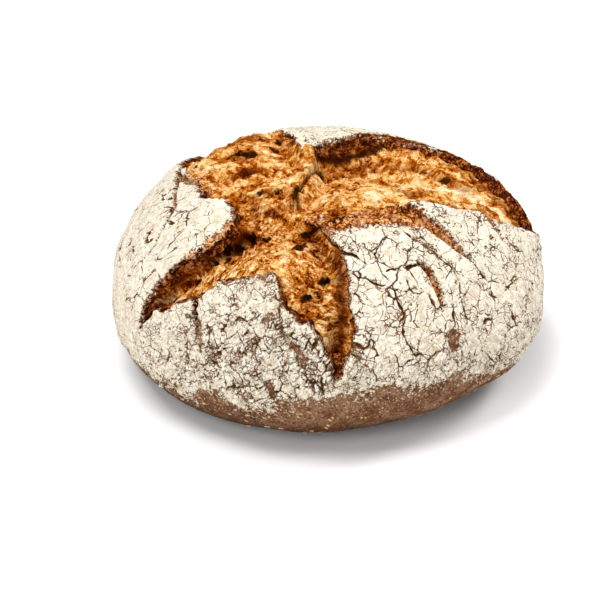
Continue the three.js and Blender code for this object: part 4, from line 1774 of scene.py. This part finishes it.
@dataclass
class Scatter:
    """Small loose things that stick to a surface, made as one joined piece of squashed balls."""

    name: str
    ground: Callable[[Array, Array], Surface]
    truing: Truing
    places: Array
    seed: int
    half_length: tuple[float, float]
    slimness: float
    flatness: float
    rings: int = 6
    sides: int = 9
    step: float = 0.8
    stray: float = 0.35
    stray_gap: float = 0.9
    ball_gap: float = 9.0

    def build(self, material: bpy.types.Material) -> bpy.types.Object:
        """Lays the things on the ground at their chart places, each turned at random.

        Each is a ball of radius 1, with its corners strayed a little, drawn out to its half length along one
        way on the ground, to a share of that across it, and pressed flat along the ground's normal.

        Args:
            material: the finish.

        Returns:
            The piece.
        """
        draw = np.random.default_rng(self.seed)
        u, v = self.places.T
        count = len(u)
        spot = self.truing.apply(self.ground(u, v).points)
        side = self.truing.apply(self.ground(u + self.step, v).points) - spot
        back = self.truing.apply(self.ground(u, v + self.step).points) - spot
        normal = np.cross(side, back)
        normal /= np.linalg.norm(normal, axis=-1, keepdims=True)
        side /= np.linalg.norm(side, axis=-1, keepdims=True)
        down = np.cross(side, normal)
        lie = draw.uniform(0.0, math.pi, (count, 1))
        long_way = np.cos(lie) * side + np.sin(lie) * down
        short_way = np.cos(lie) * down - np.sin(lie) * side
        half = draw.triangular(self.half_length[0], self.half_length[0], self.half_length[1], count)
        polars = np.linspace(0.0, math.pi, self.rings + 1)
        round_turns = np.linspace(0.0, 2.0 * math.pi, self.sides + 1)
        polar, round_turn = np.meshgrid(polars, round_turns, indexing="ij")
        ball = np.stack(
            [np.sin(polar) * np.cos(round_turn), np.sin(polar) * np.sin(round_turn), np.cos(polar)], axis=-1
        )
        apart = self.ball_gap * np.arange(count)[:, None, None, None]
        stray = 1.0 + self.stray * noise(ball[None] + apart, self.stray_gap, self.seed)
        grown = ball[None] * stray[..., None] * half[:, None, None, None]
        ways = (long_way, self.slimness * short_way, self.flatness * normal)
        points = sum(grown[..., axis, None] * way[:, None, None] for axis, way in enumerate(ways))
        points = points + spot[:, None, None]
        size = (self.rings + 1) * (self.sides + 1)
        quads = self.ball_quads()
        faces = (quads[None] + size * np.arange(count)[:, None, None]).reshape(-1, 4)
        chart = np.stack([round_turn / (2.0 * math.pi), polar / math.pi], axis=-1) * 0.9
        across = math.ceil(math.sqrt(count))
        tile = np.stack([np.arange(count) % across, np.arange(count) // across], axis=-1)
        flat = (tile[:, None] + 0.05 + chart.reshape(1, -1, 2)) / across
        return put_piece(self.name, Surface(points.reshape(-1, 3), {}), faces, flat.reshape(-1, 2), material)

    def ball_quads(self) -> Array:
        """Faces of one ball, with its seam closed and each pole one point.

        Returns:
            Four point numbers a face, the last two the same in a triangle.
        """
        columns = self.sides + 1
        quads = grid_quads(self.rings + 1, columns).reshape(-1, 4)
        row, column = quads // columns, quads % columns
        column = np.where((row == 0) | (row == self.rings), 0, column % self.sides)
        quads = row * columns + column
        upper = quads[:, 0] == quads[:, 3]
        quads[upper] = quads[upper][:, [0, 1, 2, 2]]
        lower = quads[:, 1] == quads[:, 2]
        quads[lower] = quads[lower][:, [3, 0, 1, 1]]
        return quads


def flake_places(count: int, seed: int, near: float, far: float) -> Array:
    """Chart places round the base: any turn, and a reach that is most often midway between near and far.

    Args:
        count: how many places.
        seed: picks the draw.
        near: the least reach from the crown, in millimetres.
        far: the greatest reach, in millimetres.

    Returns:
        The places, shape (count, 2).
    """
    draw = np.random.default_rng(seed)
    turn = draw.uniform(-math.pi, math.pi, count)
    reach = draw.triangular(near, (near + far) / 2.0, far, count)
    return np.stack([reach * np.cos(turn), reach * np.sin(turn)], axis=-1)


def broken_edges() -> Zones:
    """Stretches of the plates' edges where the flour broke up most: the share, then u, v and reach."""
    return {
        "left_shoulder": (1.0, ((-76, 2, 7), (-66, -14, 8), (-58, -24, 6))),
        "right_end": (0.7, ((84, -20, 6), (98, -12, 8), (110, -2, 6))),
    }


def bit_places(star: TornStar, count: int, seed: int, fade: float = 2.2) -> Array:
    """Chart places on the crumb close to the plates' edges where the flour broke up.

    A random place is kept with a chance of exp(-distance from the edge / fade), times the stretch's share.

    Args:
        star: the tear.
        count: how many places at most.
        seed: picks the draw.
        fade: how fast the chance falls off, in millimetres.

    Returns:
        The places, shape (at most count, 2).
    """
    draw = np.random.default_rng(seed)
    places = draw.uniform(*STAR_BOX, (count * DRAWS_PER_BIT, 2))
    u, v = places.T
    edge, _ = star.edge(u, v)
    chance = np.exp(edge / fade) * (edge < -0.3) * add_zones(u, v, broken_edges())
    return places[draw.uniform(0.0, 1.0, len(u)) < chance][:count]


@dataclass(frozen=True)
class SoftBox:
    """A square studio light that looks at the loaf."""

    name: str
    place: tuple[float, float, float]
    size: float
    power: float

    def build(self) -> None:
        """Adds the light, turned to the middle of the loaf."""
        light = bpy.data.lights.new(self.name, "AREA")
        light.size = self.size
        light.energy = self.power
        lamp = bpy.data.objects.new(self.name, light)
        bpy.context.scene.collection.objects.link(lamp)
        lamp.location = self.place
        toward = Vector(LOAF_MIDDLE) - lamp.location
        lamp.rotation_euler = toward.to_track_quat("-Z", "Y").to_euler()


@dataclass
class Studio:
    """A white floor, soft lights and the camera."""

    elevation: float = 30.0
    distance: float = 0.72865
    target: tuple[float, float, float] = (-0.01424, 0.0, 0.02666)
    lens: float = 85.0
    sensor: float = 36.0
    floor_half: float = 3.0
    floor_drop: float = 0.0003
    floor_tones: tuple[Colour, Colour] = ((0.93, 0.93, 0.94), (0.96, 0.96, 0.96))
    world_light: float = 0.34
    lights: tuple[SoftBox, ...] = (
        SoftBox("key_light", (1.05, 0.35, 1.1), 0.5, 13.0),
        SoftBox("top_light", (-0.45, -0.25, 1.65), 0.8, 20.0),
        SoftBox("front_light", (-0.5, -1.2, 0.9), 0.9, 9.5),
    )

    def build(self) -> None:
        """Adds the floor, the lights, the white surround and the camera."""
        self.build_floor()
        for light in self.lights:
            light.build()
        world = bpy.data.worlds.new("white_surround")
        world.use_nodes = True
        surround = world.node_tree.nodes["Background"]
        surround.inputs["Color"].default_value = (1.0, 1.0, 1.0, 1.0)
        surround.inputs["Strength"].default_value = self.world_light
        bpy.context.scene.world = world
        bpy.context.scene.view_settings.view_transform = "Standard"
        camera = bpy.data.cameras.new("camera")
        camera.lens = self.lens
        camera.sensor_width = self.sensor
        seat = bpy.data.objects.new("camera", camera)
        bpy.context.scene.collection.objects.link(seat)
        tilt = math.radians(self.elevation)
        away = np.array([0.0, -math.cos(tilt), math.sin(tilt)]) * self.distance
        seat.location = np.array(self.target) + away
        seat.rotation_euler = (math.pi / 2 - tilt, 0.0, 0.0)
        bpy.context.scene.camera = seat

    def build_floor(self) -> None:
        """Adds a plain white floor just under the foot."""
        half, low = self.floor_half, -self.floor_drop
        mesh = bpy.data.meshes.new("floor")
        corners = [(-half, -half, low), (half, -half, low), (half, half, low), (-half, half, low)]
        mesh.from_pydata(corners, [], [(0, 1, 2, 3)])
        kit = NodeKit("floor_white")
        shade = kit.mix(kit.noise(400.0, 1.0), *self.floor_tones)
        mesh.materials.append(kit.finish(shade, 0.8, kit.bump(kit.noise(3.0), 0.05, 0.1), 0.2))
        floor = bpy.data.objects.new("floor", mesh)
        bpy.context.scene.collection.objects.link(floor)


def true_to_box(crust: Crust, low: Array, high: Array) -> Truing:
    """Works out the shift and stretch from a coarse crust to the solid's box.

    Args:
        crust: the crust before it is trued.
        low: the box's lowest corner, in millimetres.
        high: the box's highest corner, in millimetres.

    Returns:
        The truing.
    """
    reaches, turns = np.linspace(0.0, 200.0, 160), np.linspace(-math.pi, math.pi, 320)
    reach, turn = np.meshgrid(reaches, turns, indexing="ij")
    edge, _ = crust.star.edge(reach * np.cos(turn), reach * np.sin(turn))
    points = crust.surface(turn, reach).points[edge > 0.0]
    bottom, top = points.min(axis=0), points.max(axis=0)
    shift = -(bottom + top) / 2.0 * np.array([1.0, 1.0, 0.0])
    stretch = (high - low) / (top - bottom)
    stretch[2] = high[2] / top[2]
    return Truing(shift, stretch)


def hand_over(piece: bpy.types.Object) -> None:
    """Fixes a piece to the loaf's body and reports it.

    Args:
        piece: the finished piece.
    """
    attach(piece, BODY)
    LOG.info("%s: %d faces", piece.name, len(piece.data.polygons))


def main() -> None:
    """Builds the crust, the crumb, the loose bits and the studio, and notes the sizes."""
    logging.basicConfig(level=logging.INFO)
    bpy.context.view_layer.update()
    low, high = (np.array(corner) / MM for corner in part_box(NODE))
    width, depth, height = high - low
    dome = Dome(width, depth, height)
    star = TornStar()
    crust = Crust(dome, star)
    crumb = Crumb(dome, star)
    truing = true_to_box(crust, low, high)
    LOG.info("truing shift %s stretch %s", truing.shift, truing.stretch)
    for piece in CrustSectors(crust, truing, CrustFinish()).build():
        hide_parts(NODE)
        hand_over(piece)
    for piece in CrumbBed(crumb, truing, CrumbFinish()).build():
        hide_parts(NODE)
        hand_over(piece)
    flakes = Scatter(
        "bran_flakes",
        crust.ground,
        truing,
        flake_places(count=260, seed=5, near=128.0, far=177.0),
        seed=5,
        half_length=(0.5, 2.0),
        slimness=0.55,
        flatness=0.3,
    )
    bits = Scatter(
        "flour_bits",
        crumb.surface,
        truing,
        bit_places(star, count=170, seed=9),
        seed=9,
        half_length=(0.25, 0.95),
        slimness=0.7,
        flatness=0.5,
    )
    hand_over(flakes.build(FlakeFinish().material()))
    hand_over(bits.build(BitFinish().material()))
    Studio().build()


if __name__ == "__main__":
    main()
